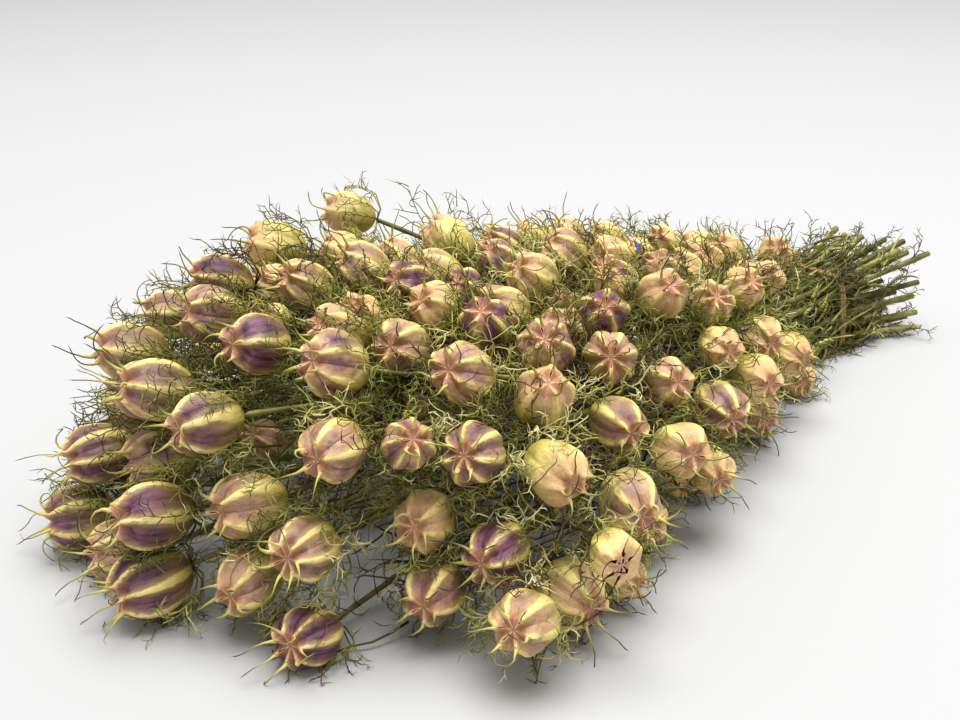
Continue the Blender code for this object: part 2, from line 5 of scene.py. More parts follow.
import bpy
import numpy as np
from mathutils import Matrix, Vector


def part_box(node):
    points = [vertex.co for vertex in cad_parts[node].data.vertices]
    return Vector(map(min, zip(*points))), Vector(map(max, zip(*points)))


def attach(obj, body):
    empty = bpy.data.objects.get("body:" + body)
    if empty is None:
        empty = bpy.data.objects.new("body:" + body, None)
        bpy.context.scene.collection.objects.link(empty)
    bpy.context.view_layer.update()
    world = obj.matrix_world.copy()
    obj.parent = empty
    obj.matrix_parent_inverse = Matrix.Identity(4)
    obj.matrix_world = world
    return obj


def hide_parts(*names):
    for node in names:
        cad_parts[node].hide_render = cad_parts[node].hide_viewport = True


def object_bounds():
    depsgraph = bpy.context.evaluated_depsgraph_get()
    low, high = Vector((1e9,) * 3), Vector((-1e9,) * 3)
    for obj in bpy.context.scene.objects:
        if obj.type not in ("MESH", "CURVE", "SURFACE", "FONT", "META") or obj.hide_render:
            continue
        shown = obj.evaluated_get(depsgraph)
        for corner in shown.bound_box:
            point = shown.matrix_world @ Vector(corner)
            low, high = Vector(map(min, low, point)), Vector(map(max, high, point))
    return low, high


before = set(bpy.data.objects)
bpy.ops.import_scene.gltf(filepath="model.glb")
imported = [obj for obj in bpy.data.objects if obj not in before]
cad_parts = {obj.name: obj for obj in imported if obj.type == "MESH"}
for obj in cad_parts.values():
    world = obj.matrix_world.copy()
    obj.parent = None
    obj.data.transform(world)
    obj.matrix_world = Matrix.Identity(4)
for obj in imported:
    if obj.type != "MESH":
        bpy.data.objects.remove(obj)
cad_low, cad_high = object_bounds()

# The stems as they lie
# Thirty-five cut stems of dried nigella, drawn together at the waist and fanned out on their sides in
# three layers. Each bears a ripe pod at its tip, and the outer and upper ones more on side branches.
# The rule and its draws are the CAD model's, so every pod here sits where its solid does.

MM = 0.001
SEED = 7
REACH = 393 * MM
NEAR_DROP = 104 * MM
FAR_DROP = 165 * MM
FAN_HALF = math.radians(22)
WAIST_HALF = 22 * MM
RISE = 200 * MM
TAIL = 58 * MM
TAIL_FAN = 0.95
LAYERS = (
    ("low", 11, math.radians(20.6), 4.4 * MM, 15 * MM, 4 * MM),
    ("mid", 11, math.radians(19.0), 17 * MM, 38 * MM, 20 * MM),
    ("top", 13, math.radians(17.0), 29 * MM, 58 * MM, 40 * MM),
)
STAGGER = 4.6 * MM
DOME = 0.16
TURN_SWAY = math.radians(0.35)
CUT_SWAY = 3 * MM
SHORTEST_TAIL = 0.72
LEADER_SWAY = 4 * MM
LEADER_BACK = {"low": (0, 12 * MM), "mid": (8 * MM, 26 * MM), "top": (26 * MM, 58 * MM)}
RAISED = (12 * MM, 23 * MM)
LEADER_LEAN = {"low": 0.12, "mid": 0.1, "top": 0.3}
AXIS_SWAY = {"leader": 0.2, "top": 0.33, "flank": 0.25}
STRAYS = {
    ("low", 10): (math.radians(20.5), 331 * MM, 22 * MM),
    ("mid", 0): (math.radians(-20.5), 236 * MM, 55 * MM),
    ("top", 0): (math.radians(-20.0), 232 * MM, 84 * MM),
}
ROW_STEP = 27 * MM
FIRST_ROW = 62 * MM
LAST_ROW = 318 * MM
ROW_GAP = 26 * MM
SIDE_LIFT = 17 * MM
FLANKS = (
    ("low", 70 * MM, 58 * MM, math.radians(-1.5), 3 * MM),
    ("mid", 96 * MM, 45 * MM, math.radians(0), 7 * MM),
    ("top", 118 * MM, 45 * MM, math.radians(-3), 4 * MM),
)
FAR_STEP = 1.3
FLANK_END = 18 * MM
FLANK_SWAY = 5 * MM
ROW_SWAY = 7 * MM
ROW_END = 28 * MM
LEADER_RUN = 78 * MM
FIRST_FORK = 12 * MM
BRANCH_BACKS = (52 * MM, 42 * MM, 62 * MM, 33 * MM, 74 * MM, 25 * MM)
BRANCH_LIFTS = (0, 0.6, 1.2)
SETTLE_RISES = (0, 1.5 * MM, 3 * MM, 5 * MM, 7 * MM)
POD_WIDTH_NEAR = 17.4 * MM
POD_WIDTH_FAR = 22.6 * MM
POD_SWAY = (-1.6 * MM, 1.4 * MM)
POD_LENGTH = 1.16
LENGTH_SWAY = (0.95, 1.08)
POD_GAP = 1.2 * MM
REST_TILT = math.radians(12)
REST_FLAT = 1.1 * MM
BELT_RISE = 0.60
STEM_RADIUS = 1.5 * MM
BRANCH_RADIUS = 0.9 * MM
COLLAR_HEIGHT = 1.2 * MM
CLEAR = 0.4 * MM
RESTING = (("low", 1), ("low", 5), ("low", 8))
RIB_CHOICES = (5, 5, 5, 6, 6, 7)
BASE_RUN = 60 * MM
FLOOR_GAP = 0.8 * MM
STEM_GAP = 4.2 * MM
ROOM_ROUNDS = 200
ROOM_SHARE = 0.2
RUN_SHARES = (0, 0.25, 0.55)
CURVE_STEPS = 3


def ease(t):
    """0 to 1, starting and ending level."""
    t = min(max(t, 0.0), 1.0)
    return t * t * (3 - 2 * t)


def reach_at(turn):
    """How far the fan reaches in this direction from the tie."""
    return REACH - (NEAR_DROP if turn > 0 else FAR_DROP) * (turn / FAN_HALF) ** 2


def ahead(turn):
    """The direction of a stem that leaves the tie at this turn."""
    return Vector((-math.cos(turn), -math.sin(turn), 0))


def aside(turn):
    """Across the stem, to the side of growing turn."""
    return Vector((math.sin(turn), -math.cos(turn), 0))


def on_run(stem, d):
    """The stem's own place at a distance d in front of the tie, or behind it where d is negative."""
    turn = stem["turn"]
    share = turn / FAN_HALF
    spread = d * math.sin(turn) if d > 0 else -d * math.sin(turn) * TAIL_FAN
    if d > 0:
        level = stem["far_height"] * (1 - DOME * share * share)
        height = stem["tie_height"] + (level - stem["tie_height"]) * ease(d / RISE)
    else:
        height = stem["tie_height"] + (stem["cut_height"] - stem["tie_height"]) * ease(-d / TAIL)
    return Vector((-d * math.cos(turn), -(WAIST_HALF * share + spread), height))


def make_stems(rng):
    """The stems with the pods that they carry, before the pods make room for each other."""
    stems = []
    for layer, count, half, tie_height, far_height, cut_height in LAYERS:
        for k in range(count):
            turn = -half + 2 * half * (k + 0.5) / count + rng.uniform(-1, 1) * TURN_SWAY
            stem = {
                "name": f"stem_{layer}_{k + 1:02d}",
                "layer": layer,
                "turn": turn,
                "tie_height": tie_height + k % 2 * STAGGER,
                "far_height": far_height + k % 2 * STAGGER,
                "cut_height": cut_height + k % 2 * STAGGER + rng.uniform(0, CUT_SWAY),
                "tail": TAIL * rng.uniform(SHORTEST_TAIL, 1.0),
                "pods": [],
            }
            back = LEADER_BACK[layer][k % 2] + rng.uniform(-1, 1) * LEADER_SWAY
            heading = turn
            distance = reach_at(turn) - back
            height = on_run(stem, distance).z
            if layer == "top":
                height += RAISED[k % 2]
            if (layer, k) in STRAYS:
                heading, distance, height = STRAYS[layer, k]
            add_pod(stem, rng, heading, distance, height, "leader", (layer, k) in RESTING)
            stems.append(stem)
    add_side_pods([s for s in stems if s["layer"] == "top"], rng)
    for layer, first, step, outward, lift in FLANKS:
        row = [s for s in stems if s["layer"] == layer]
        add_flank_pods(row[0], -1, first, step * FAR_STEP, outward, lift, rng)
        add_flank_pods(row[-1], 1, first, step, outward, lift, rng)
    return stems


def add_pod(stem, rng, heading, distance, height, place, resting=False):
    """One pod on the stem: a leader at its end, one on top of the bunch, or one on its flank."""
    share = heading / FAN_HALF
    grown = distance / REACH
    width = POD_WIDTH_NEAR + (POD_WIDTH_FAR - POD_WIDTH_NEAR) * grown + rng.uniform(*POD_SWAY)
    up = Vector((0, 0, 1))
    forward, side = ahead(heading), aside(heading)
    if place == "leader":
        axis = forward + side * share * 0.35 + up * LEADER_LEAN[stem["layer"]]
    elif place == "top":
        axis = forward * (0.45 + 0.4 * grown) + side * share * 0.75 + up * 0.62
    else:
        axis = forward * 0.55 + side * math.copysign(0.85, share) + up * 0.15
    axis += Vector((rng.uniform(-1, 1), rng.uniform(-1, 1), rng.uniform(-1, 1))) * AXIS_SWAY[place]
    roll = rng.uniform(0, math.tau)
    length = width * POD_LENGTH * rng.uniform(*LENGTH_SWAY)
    if resting:
        level = Vector((axis.x, axis.y, 0)).normalized()
        axis = level * math.cos(REST_TILT) + up * math.sin(REST_TILT)
        roll = math.pi / 2
        belt = (BELT_RISE - 0.5) * length * math.sin(REST_TILT)
        height = width / 2 * math.cos(REST_TILT) - belt - REST_FLAT
    base = Vector((0, -WAIST_HALF * share * min(1.0, distance / BASE_RUN), 0))
    centre = base + forward * distance + up * height
    stem["pods"].append(
        {
            "place": place,
            "resting": resting,
            "centre": centre,
            "axis": axis.normalized(),
            "width": width,
            "length": length,
            "ribs": rng.choice(RIB_CHOICES),
            "roll": roll,
            "distance": distance,
        }
    )


def add_side_pods(row, rng):
    """Rows of pods over the top of the bunch. Near the tie fewer stems have room for one."""
    count = len(row)
    spacing = row[1]["turn"] - row[0]["turn"]
    distance, rank = FIRST_ROW, 0
    while distance < LAST_ROW:
        across = spacing * distance + 2 * WAIST_HALF / count
        step = max(1, math.ceil(ROW_GAP / across))
        for k in range(rank * ((step + 1) // 2) % step, count, step):
            stem = row[k]
            at = distance + rng.uniform(-1, 1) * ROW_SWAY
            if at < stem["pods"][0]["distance"] - ROW_END:
                height = on_run(stem, at).z + SIDE_LIFT
                add_pod(stem, rng, stem["turn"], at, height, "top")
        distance += ROW_STEP
        rank += 1


def add_flank_pods(stem, side, first, step, outward, lift, rng):
    """Pods that hang out of the bunch's side."""
    at = first
    while at < stem["pods"][0]["distance"] - FLANK_END:
        height = on_run(stem, at).z + lift
        add_pod(stem, rng, side * (FAN_HALF + outward), at, height, "flank")
        at += step + rng.uniform(-1, 1) * FLANK_SWAY


def make_room(stems):
    """Pushes overlapping pods apart, each taken as two balls along its axis, and keeps them above the
    floor and above the stems under them."""
    pods = [pod for stem in stems for pod in stem["pods"]]
    count = len(pods)
    place = np.array([pod["centre"] for pod in pods])
    radius = np.array([pod["width"] / 2 for pod in pods])
    arm = np.array([pod["axis"] * (pod["length"] - pod["width"]) / 2 for pod in pods])
    fixed = np.array([pod["resting"] for pod in pods])
    least = radius + np.abs(arm[:, 2]) + FLOOR_GAP
    for i, pod in enumerate(pods):
        if pod["place"] == "top":
            least[i] = place[i][2] - SIDE_LIFT + radius[i] + STEM_GAP
    owner = np.tile(np.arange(count), 2)
    reach = np.tile(radius, 2)
    apart = (reach[:, None] + reach[None, :] + POD_GAP) * (owner[:, None] != owner[None, :])
    for _ in range(ROOM_ROUNDS):
        balls = np.concatenate([place - arm, place + arm])
        gap = balls[:, None, :] - balls[None, :, :]
        far = np.linalg.norm(gap, axis=2) + np.eye(2 * count)
        push = np.maximum(apart - far, 0) * ROOM_SHARE
        shift = (gap / far[:, :, None] * push[:, :, None]).sum(axis=1)
        shift = shift[:count] + shift[count:]
        shift[fixed] = 0
        place += shift
        place[~fixed, 2] = np.maximum(place[~fixed, 2], least[~fixed])
    for pod, at in zip(pods, place):
        pod["centre"] = Vector(at)


def curve_between(start, leave, end, arrive, steps):
    """Points on a smooth curve from start, heading along leave, to end, arriving along arrive."""
    points = []
    for i in range(steps + 1):
        t = i / steps
        a = 2 * t**3 - 3 * t**2 + 1
        b = t**3 - 2 * t**2 + t
        c = -2 * t**3 + 3 * t**2
        d = t**3 - t**2
        points.append(start * a + leave * b + end * c + arrive * d)
    return points


def pod_base(pod):
    """Where the pod sits on its stem."""
    return pod["centre"] - pod["axis"] * pod["length"] * 0.5


def pod_ends(pod):
    """The middles of the two balls that a pod is taken as."""
    half = pod["axis"] * (pod["length"] - pod["width"]) / 2
    return [pod["centre"] - half, pod["centre"] + half]


def route_trunks(stems):
    """Gives each stem its path from the cut end to its leader."""
    for stem in stems:
        leader = stem["pods"][0]
        end = pod_base(leader) - leader["axis"] * COLLAR_HEIGHT
        turning = leader["distance"] - LEADER_RUN
        tail = [on_run(stem, -stem["tail"])]
        run = [on_run(stem, turning * share) for share in RUN_SHARES]
        start = on_run(stem, turning)
        leave = (on_run(stem, turning + 5 * MM) - start).normalized() * (end - start).length
        final = curve_between(start, leave, end, leader["axis"] * (end - start).length * 0.8, CURVE_STEPS)
        stem["path"] = tail + run + final


def settle_side_pods(stem, room):
    """Gives each side pod its place and its branch, or leaves it out where nothing is free."""
    bars = room.beside(stem["name"])
    stem["pods"] = [pod for pod in stem["pods"] if pod["place"] == "leader" or settle(stem, pod, bars, room)]


def settle(stem, pod, bars, room):
    """Lifts the pod until it and a branch to it are free, and says whether they are."""
    wanted = pod["centre"]
    for rise in SETTLE_RISES:
        pod["centre"] = wanted + Vector((0, 0, rise))
        if not is_clear(bars, pod_ends(pod), pod["width"] / 2):
            continue
        for lift, back in itertools.product(BRANCH_LIFTS, BRANCH_BACKS):
            path = branch_path(stem, pod, lift, back)
            if is_clear(bars, path, BRANCH_RADIUS * 0.8):
                pod["path"] = path
                room.claim(stem["name"], path, BRANCH_RADIUS * 1.1)
                room.claim(stem["name"], pod_ends(pod), pod["width"] / 2)
                return True
    return False


def branch_path(stem, pod, lift, back):
    """A branch to the pod that leaves the stem this far back, rising as it goes."""
    tip = pod_base(pod) - pod["axis"] * COLLAR_HEIGHT
    d = min(max(pod["distance"] - back, FIRST_FORK), stem["pods"][0]["distance"] - LEADER_RUN)
    start = on_chord(stem["path"], d)
    leave = (ahead(stem["turn"]) + Vector((0, 0, lift))).normalized()
    span = (tip - start).length
    return curve_between(start, leave * span * 0.9, tip, pod["axis"] * span * 0.7, CURVE_STEPS)


def on_chord(path, d):
    """The place at this distance in front of the tie on the stem's straight lengths."""
    for a, b in zip(path, path[1:]):
        if a.x >= -d >= b.x:
            return a.lerp(b, (a.x + d) / (a.x - b.x))
    return path[-1]


class Room:
    """What the stems already fill, as round bars."""

    def __init__(self):
        self.starts, self.ends, self.radii, self.owners = [], [], [], []

    def claim(self, owner, points, radius):
        for a, b in zip(points, points[1:]):
            self.starts.append(a)
            self.ends.append(b)
            self.radii.append(radius)
            self.owners.append(owner)

    def beside(self, owner):
        """The bars of every stem but this one."""
        others = [i for i, o in enumerate(self.owners) if o != owner]
        starts = np.array([self.starts[i] for i in others])
        ends = np.array([self.ends[i] for i in others])
        return starts, ends, np.array([self.radii[i] for i in others])


def is_clear(bars, points, radius):
    """Whether a thread along these points misses every bar and the floor."""
    starts, ends, radii = bars
    runs = ends - starts
    lengths = (runs**2).sum(axis=1)
    for a, b in zip(points, points[1:]):
        for share in (0.0, 0.25, 0.5, 0.75, 1.0):
            p = np.array(a.lerp(b, share))
            if p[2] < radius:
                return False
            along = np.clip(((p - starts) * runs).sum(axis=1) / lengths, 0, 1)
            gap = np.linalg.norm(starts + runs * along[:, None] - p, axis=1) - radii
            if gap.min() < radius + CLEAR:
                return False
    return True


TWINE_THICK = 2.6 * MM
TWINE_BAND = 4.2 * MM
TWINE_POINTS = 22


def twine_round(stems):
    """The middle of the twine, pulled tight round the stems' outline at the waist, and the way out there."""
    slack = STEM_RADIUS * 1.15 + CLEAR + TWINE_BAND / 2 * math.tan(FAN_HALF)
    waist = [on_run(stem, 0) for stem in stems]
    ring = []
    for i in range(TWINE_POINTS):
        turn = math.tau * (i + 0.5) / TWINE_POINTS
        out = Vector((0, math.cos(turn), math.sin(turn)))
        touched = max(waist, key=out.dot)
        ring.append((touched + out * (slack + TWINE_THICK / 2), out))
    return ring


rng = random.Random(SEED)
stems = make_stems(rng)
make_room(stems)
route_trunks(stems)
ring = twine_round(stems)
room = Room()
for stem in stems:
    room.claim(stem["name"], stem["path"], STEM_RADIUS * 1.1)
    room.claim(stem["name"], pod_ends(stem["pods"][0]), stem["pods"][0]["width"] / 2)
ring_middle = [at for at, out in ring]
room.claim("tie", ring_middle + ring_middle[:1], TWINE_BAND / 2)
for stem in stems:
    settle_side_pods(stem, room)

# The CAD model bears only the outer pods. These fill the gaps between them: later pods, a little smaller,
# and young ones that never ripened. Each kind: tries, widths, lengths over width, height above the stem.
EXTRA_PODS = (
    ("late", 330, (13.5 * MM, 19 * MM), (1.08, 1.25), (-2 * MM, 24 * MM)),
    ("young", 90, (8 * MM, 12.5 * MM), (1.15, 1.4), (8 * MM, 27 * MM)),
)
EXTRA_FIRST = 36 * MM
EXTRA_LAST = 14 * MM
EXTRA_SWAY = 0.05
LOW_BEARERS = slice(7, 11)
FLANK_SHARE = 0.5
NEAR_FLANK = FAN_HALF * 0.5
FLANK_TURNS = (0.8, 1.08)
FLANK_HEIGHTS = (12 * MM, 58 * MM)
extra_rng = random.Random(SEED + 1)
bearing = [stem for stem in stems if stem["layer"] != "low"] + stems[LOW_BEARERS]
for kind, tries, widths, lengths, lifts in EXTRA_PODS:
    for _ in range(tries):
        stem = extra_rng.choice(bearing)
        on_flank = stem["turn"] > NEAR_FLANK and extra_rng.random() < FLANK_SHARE
        at = extra_rng.uniform(EXTRA_FIRST, stem["pods"][0]["distance"] - EXTRA_LAST)
        heading = stem["turn"] + extra_rng.uniform(-EXTRA_SWAY, EXTRA_SWAY)
        height = on_run(stem, at).z + extra_rng.uniform(*lifts)
        if on_flank:
            heading = FAN_HALF * extra_rng.uniform(*FLANK_TURNS)
            height = extra_rng.uniform(*FLANK_HEIGHTS)
        add_pod(stem, extra_rng, heading, at, height, "flank" if on_flank else "top")
        pod = stem["pods"][-1]
        pod["width"] = extra_rng.uniform(*widths)
        pod["length"] = pod["width"] * extra_rng.uniform(*lengths)
        pod["kind"] = kind
        free = is_clear(room.beside("nothing"), pod_ends(pod), pod["width"] / 2)
        if not free or not settle(stem, pod, room.beside(stem["name"]), room):
            stem["pods"].pop()

# Everything so far is measured from the tie. The CAD model is centred, so it all moves with the tie.
tie_low, tie_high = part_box("tie")
ring_far = max((at + out * TWINE_THICK / 2).y for at, out in ring)
from_tie = Vector(((tie_low.x + tie_high.x) / 2, tie_high.y - ring_far, 0))
for stem in stems:
    stem["path"] = [p + from_tie for p in stem["path"]]
    for pod in stem["pods"]:
        pod["centre"] += from_tie
        if "path" in pod:
            pod["path"] = [p + from_tie for p in pod["path"]]

# The bare stems
# Thin ridged straws, olive green to brown, that narrow towards their tips and swell a little at each
# joint where a leaf grew. They were cut with shears, so each end shows a pale ring round a hollow.

STEM_TIP_RADIUS = 1.0 * MM
STEM_SIDES = 6
BRANCH_SIDES = 5
STEM_STEPS = 6
JOINT_EVERY = 26 * MM
JOINT_SWELL = 0.28
JOINT_SPREAD = 1.6 * MM
HOLLOW = 0.5
HOLLOW_DEPTH = 2.5 * MM
RIM = 0.15 * MM
RIDGES = 3
STRAW_TINTS = (0.2, 0.75)
BOX_GAP = 0.1 * MM
gen = np.random.default_rng(SEED)


def unit(vectors):
    """The vectors at length 1."""
    return vectors / np.maximum(np.linalg.norm(vectors, axis=-1, keepdims=True), 1e-12)


def walked_along(line):
    """How far each point of a line is from its start, along the line."""
    return np.concatenate([[0], np.cumsum(np.linalg.norm(np.diff(line, axis=0), axis=1))])


def smooth_through(points, steps):
    """A smooth curve through the points, with this many steps from each to the next."""
    points = np.array(points, float)
    padded = np.concatenate([2 * points[:1] - points[1:2], points, 2 * points[-1:] - points[-2:-1]])
    curve = []
    for i in range(1, len(padded) - 2):
        a, b, c, d = padded[i - 1 : i + 3]
        for t in np.arange(steps) / steps:
            square, cube = 2 * a - 5 * b + 4 * c - d, 3 * b - a - 3 * c + d
            curve.append(0.5 * (2 * b + (c - a) * t + square * t**2 + cube * t**3))
    curve.append(padded[-2])
    return np.array(curve)


def skin_tubes(paths, radii, sides, tangents=None):
    """Closed pointed tubes along many paths at once. paths is (count, steps, 3) in shape, and radii is
    (count, steps - 1)."""
    count, steps = paths.shape[:2]
    if tangents is None:
        tangents = unit(np.gradient(paths, axis=1))
    across = np.cross(tangents[:, 0], unit(gen.normal(size=(count, 3))))
    turns = math.tau * np.arange(sides) / sides
    rings = np.empty((count, steps - 1, sides, 3))
    for i in range(steps - 1):
        ahead_of = tangents[:, i]
        across = unit(across - ahead_of * (across * ahead_of).sum(axis=1, keepdims=True))
        beside = np.cross(ahead_of, across)
        out = across[:, None] * np.cos(turns)[:, None] + beside[:, None] * np.sin(turns)[:, None]
        rings[:, i] = paths[:, i, None] + out * radii[:, i, None, None]
    points = np.concatenate([rings.reshape(count, -1, 3), paths[:, -1:]], axis=1)
    faces = [(0, k + 1, k) for k in range(1, sides - 1)]
    for i, k in itertools.product(range(steps - 2), range(sides)):
        a, b = i * sides + k, i * sides + (k + 1) % sides
        faces += [(a, b, b + sides), (a, b + sides, a + sides)]
    last = (steps - 2) * sides
    faces += [(last + k, last + (k + 1) % sides, last + sides) for k in range(sides)]
    faces = np.array(faces)
    size = points.shape[1]
    every = (faces[None] + np.arange(count)[:, None, None] * size).reshape(-1, 3)
    return points.reshape(-1, 3), every


def each_ring(values, sides):
    """A value for each step of each path, given to every point of the tubes."""
    count, steps = values.shape
    ringed = np.repeat(values[:, :-1], sides, axis=1)
    return np.concatenate([ringed, values[:, -1:]], axis=1).reshape(-1)


def part_of(points, faces, material=0, **fields):
    """A part of a piece: its points, its triangles, its material's number and a value at each point."""
    filled = {name: np.broadcast_to(value, len(points)).astype(float) for name, value in fields.items()}
    return {"points": points, "faces": faces, "material": np.full(len(faces), material), "fields": filled}


def joined(parts):
    """Several parts as one. A field that a part lacks is 0 there."""
    names = sorted({name for part in parts for name in part["fields"]})
    starts = np.cumsum([0] + [len(part["points"]) for part in parts])
    fields = {}
    for name in names:
        every = [part["fields"].get(name, np.zeros(len(part["points"]))) for part in parts]
        fields[name] = np.concatenate(every)
    return {
        "points": np.concatenate([part["points"] for part in parts]),
        "faces": np.concatenate([part["faces"] + start for part, start in zip(parts, starts)]),
        "material": np.concatenate([part["material"] for part in parts]),
        "fields": fields,
    }


def make_piece(name, parts, materials, nodes=()):
    """A piece with its place in its mesh, kept inside the CAD model's box and off the floor."""
    whole = joined(parts)
    lowest = np.array(cad_low) + BOX_GAP
    highest = np.array(cad_high) - BOX_GAP
    points = np.clip(whole["points"], lowest, highest)
    mesh = bpy.data.meshes.new(name)
    faces = whole["faces"]
    mesh.vertices.add(len(points))
    mesh.vertices.foreach_set("co", points.astype(np.float32).ravel())
    mesh.loops.add(faces.size)
    mesh.loops.foreach_set("vertex_index", faces.astype(np.int32).ravel())
    mesh.polygons.add(len(faces))
    mesh.polygons.foreach_set("loop_start", np.arange(0, faces.size, 3, dtype=np.int32))
    mesh.polygons.foreach_set("material_index", whole["material"].astype(np.int32))
    for field, values in whole["fields"].items():
        made = mesh.attributes.new(field, "FLOAT", "POINT")
        made.data.foreach_set("value", values.astype(np.float32))
    mesh.update(calc_edges=True)
    mesh.validate()
    mesh.shade_smooth()
    for material in materials:
        mesh.materials.append(material)
    piece = bpy.data.objects.new(name, mesh)
    bpy.context.scene.collection.objects.link(piece)
    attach(piece, "root")
    if nodes:
        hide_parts(*nodes)
    return piece


def linear(code):
    """The linear colour of an sRGB hex value."""
    channels = [int(code[i : i + 2], 16) / 255 for i in (0, 2, 4)]
    return tuple(c / 12.92 if c <= 0.04045 else ((c + 0.055) / 1.055) ** 2.4 for c in channels) + (1.0,)


def add_node(material, kind, inputs=(), stops=(), output=0, **settings):
    """Adds a node with its settings, its inputs as values or as other nodes' outputs, and a ramp's stops,
    and gives back the output that is asked for."""
    made = material.node_tree.nodes.new(kind)
    for name, value in settings.items():
        setattr(made, name, value)
    for key, value in dict(inputs).items():
        if isinstance(value, bpy.types.NodeSocket):
            material.node_tree.links.new(value, made.inputs[key])
        else:
            made.inputs[key].default_value = value
    for i, (place, colour) in enumerate(stops):
        ramp = made.color_ramp.elements
        stop = ramp[i] if i < 2 else ramp.new(place)
        stop.position = place
        stop.color = linear(colour)
    return made.outputs[output]


def new_material(name, **constants):
    """A material whose shader has these constant inputs."""
    made = bpy.data.materials.new(name)
    made.use_nodes = True
    for key, value in constants.items():
        made.node_tree.nodes["Principled BSDF"].inputs[key.replace("_", " ")].default_value = value
    return made


def finished(material, **outputs):
    """The material once these outputs are linked to its shader."""
    shader = material.node_tree.nodes["Principled BSDF"]
    for key, value in outputs.items():
        material.node_tree.links.new(value, shader.inputs[key.replace("_", " ")])
    return material


def dried_stem():
    """Dried straw of the stems: dull olive and brown, with lengthwise ridges and a faint waxy sheen."""
    made = new_material("dried_green_straw", IOR=1.45)
    fields = ("round", "tint", "cut")
    kind = "ShaderNodeAttribute"
    round_it, tint, cut = (add_node(made, kind, output="Fac", attribute_name=name) for name in fields)
    where = add_node(made, "ShaderNodeTexCoord", output="Object")
    wide = {"Vector": where, "Scale": 1 / (9 * MM), "Detail": 4.0}
    patches = add_node(made, "ShaderNodeTexNoise", wide)
    fine = {"Vector": where, "Scale": 1 / (0.8 * MM), "Detail": 3.0}
    grain = add_node(made, "ShaderNodeTexNoise", fine)
    mixed = add_node(made, "ShaderNodeMath", {0: patches, 1: tint}, operation="ADD")
    shade = add_node(made, "ShaderNodeMath", {0: mixed, 1: -0.5}, operation="ADD")
    browns = ((0.15, "3F3A1C"), (0.4, "6D6A2C"), (0.62, "94914A"), (0.9, "A98F55"))
    bark = add_node(made, "ShaderNodeValToRGB", {"Fac": shade}, browns)
    speckled = add_node(
        made,
        "ShaderNodeMapRange",
        {"Value": grain, "From Min": 0.3, "From Max": 0.7, "To Min": 0.72, "To Max": 1.15},
    )
    toned = add_node(
        made,
        "ShaderNodeMix",
        {0: 1.0, 6: bark, 7: speckled},
        output=2,
        data_type="RGBA",
        blend_type="MULTIPLY",
    )
    pith = {0: cut, 6: toned, 7: linear("CDBF8E")}
    ended = add_node(made, "ShaderNodeMix", pith, output=2, data_type="RGBA")
    ridges = add_node(made, "ShaderNodeMath", {0: round_it, 1: math.tau * RIDGES}, operation="MULTIPLY")
    wave = add_node(made, "ShaderNodeMath", {0: ridges}, operation="SINE")
    height = add_node(made, "ShaderNodeMath", {0: wave, 1: grain}, operation="ADD")
    bump = add_node(made, "ShaderNodeBump", {"Height": height, "Strength": 0.5, "Distance": 0.08 * MM})
    rough = add_node(made, "ShaderNodeMapRange", {"Value": patches, "To Min": 0.5, "To Max": 0.75})
    return finished(made, Base_Color=ended, Normal=bump, Roughness=rough)


def straw(points, thick, thin, sides, cut_end):
    """One stem or branch as a tube: it tapers, swells at its joints and may end in a hollow cut."""
    path = smooth_through(points, STEM_STEPS)
    tangents = unit(np.gradient(path, axis=0))
    walked = walked_along(path)
    share = walked / walked[-1]
    radii = thick + (thin - thick) * share
    first = gen.uniform(0, JOINT_EVERY)
    off_joint = np.abs((walked - first + JOINT_EVERY / 2) % JOINT_EVERY - JOINT_EVERY / 2)
    radii = radii * (1 + JOINT_SWELL * np.exp(-((off_joint / JOINT_SPREAD) ** 2)))
    cut = np.zeros(len(path))
    if cut_end:
        back = tangents[0]
        lead = np.array([path[0] + back * HOLLOW_DEPTH, path[0], path[0]])
        path = np.concatenate([lead, [path[0] + back * RIM], path[1:]])
        radii = np.concatenate([[radii[0] * HOLLOW * 0.9, radii[0] * HOLLOW, radii[0]], radii])
        tangents = np.concatenate([[back] * 3, tangents])
        cut = np.concatenate([[0.3, 1, 1], cut])
    path = np.concatenate([path, [path[-1] + tangents[-1] * radii[-1]]])
    tangents = np.concatenate([tangents, tangents[-1:]])
    tubes, faces = skin_tubes(path[None], radii[None], sides, tangents[None])
    cut = np.append(cut, 0)
    turned = np.append(np.tile(np.arange(sides) / sides, len(path) - 1), 0)
    tint = gen.uniform(*STRAW_TINTS)
    return part_of(tubes, faces, cut=each_ring(cut[None], sides), round=turned, tint=tint)


straw_material = dried_stem()
for layer in ("low", "mid", "top"):
    layer_stems = [stem for stem in stems if stem["layer"] == layer]
    tubes = []
    for stem in layer_stems:
        tubes.append(straw(stem["path"], STEM_RADIUS, STEM_TIP_RADIUS, STEM_SIDES, True))
        for pod in stem["pods"]:
            if "path" in pod:
                tubes.append(straw(pod["path"], BRANCH_RADIUS, BRANCH_RADIUS * 0.9, BRANCH_SIDES, False))
    make_piece(f"stems_{layer}", tubes, [straw_material])

# The pods
# A ripe nigella pod is a papery husk blown up like a balloon, of five to seven lobes grown together.
# A cream band runs up the back of each lobe to a keel and ends in a style. The panels between are mauve
# with a dark seam, and the crown between the styles is a tan star, split open by a short slit at each.

POD_RINGS = 21
EXTRA_RINGS = 17
LOBE_COLUMNS = (-0.84, -0.52, -0.28, -0.13, 0.13, 0.28, 0.52, 0.84, 1.0)
SLIT_HALF = 0.13
SLIT_SPAN = (0.13, 0.40)
SLIT_DEPTH = 0.1
KEEL = 0.1
NOTCH = 0.09
SEAM = 0.15
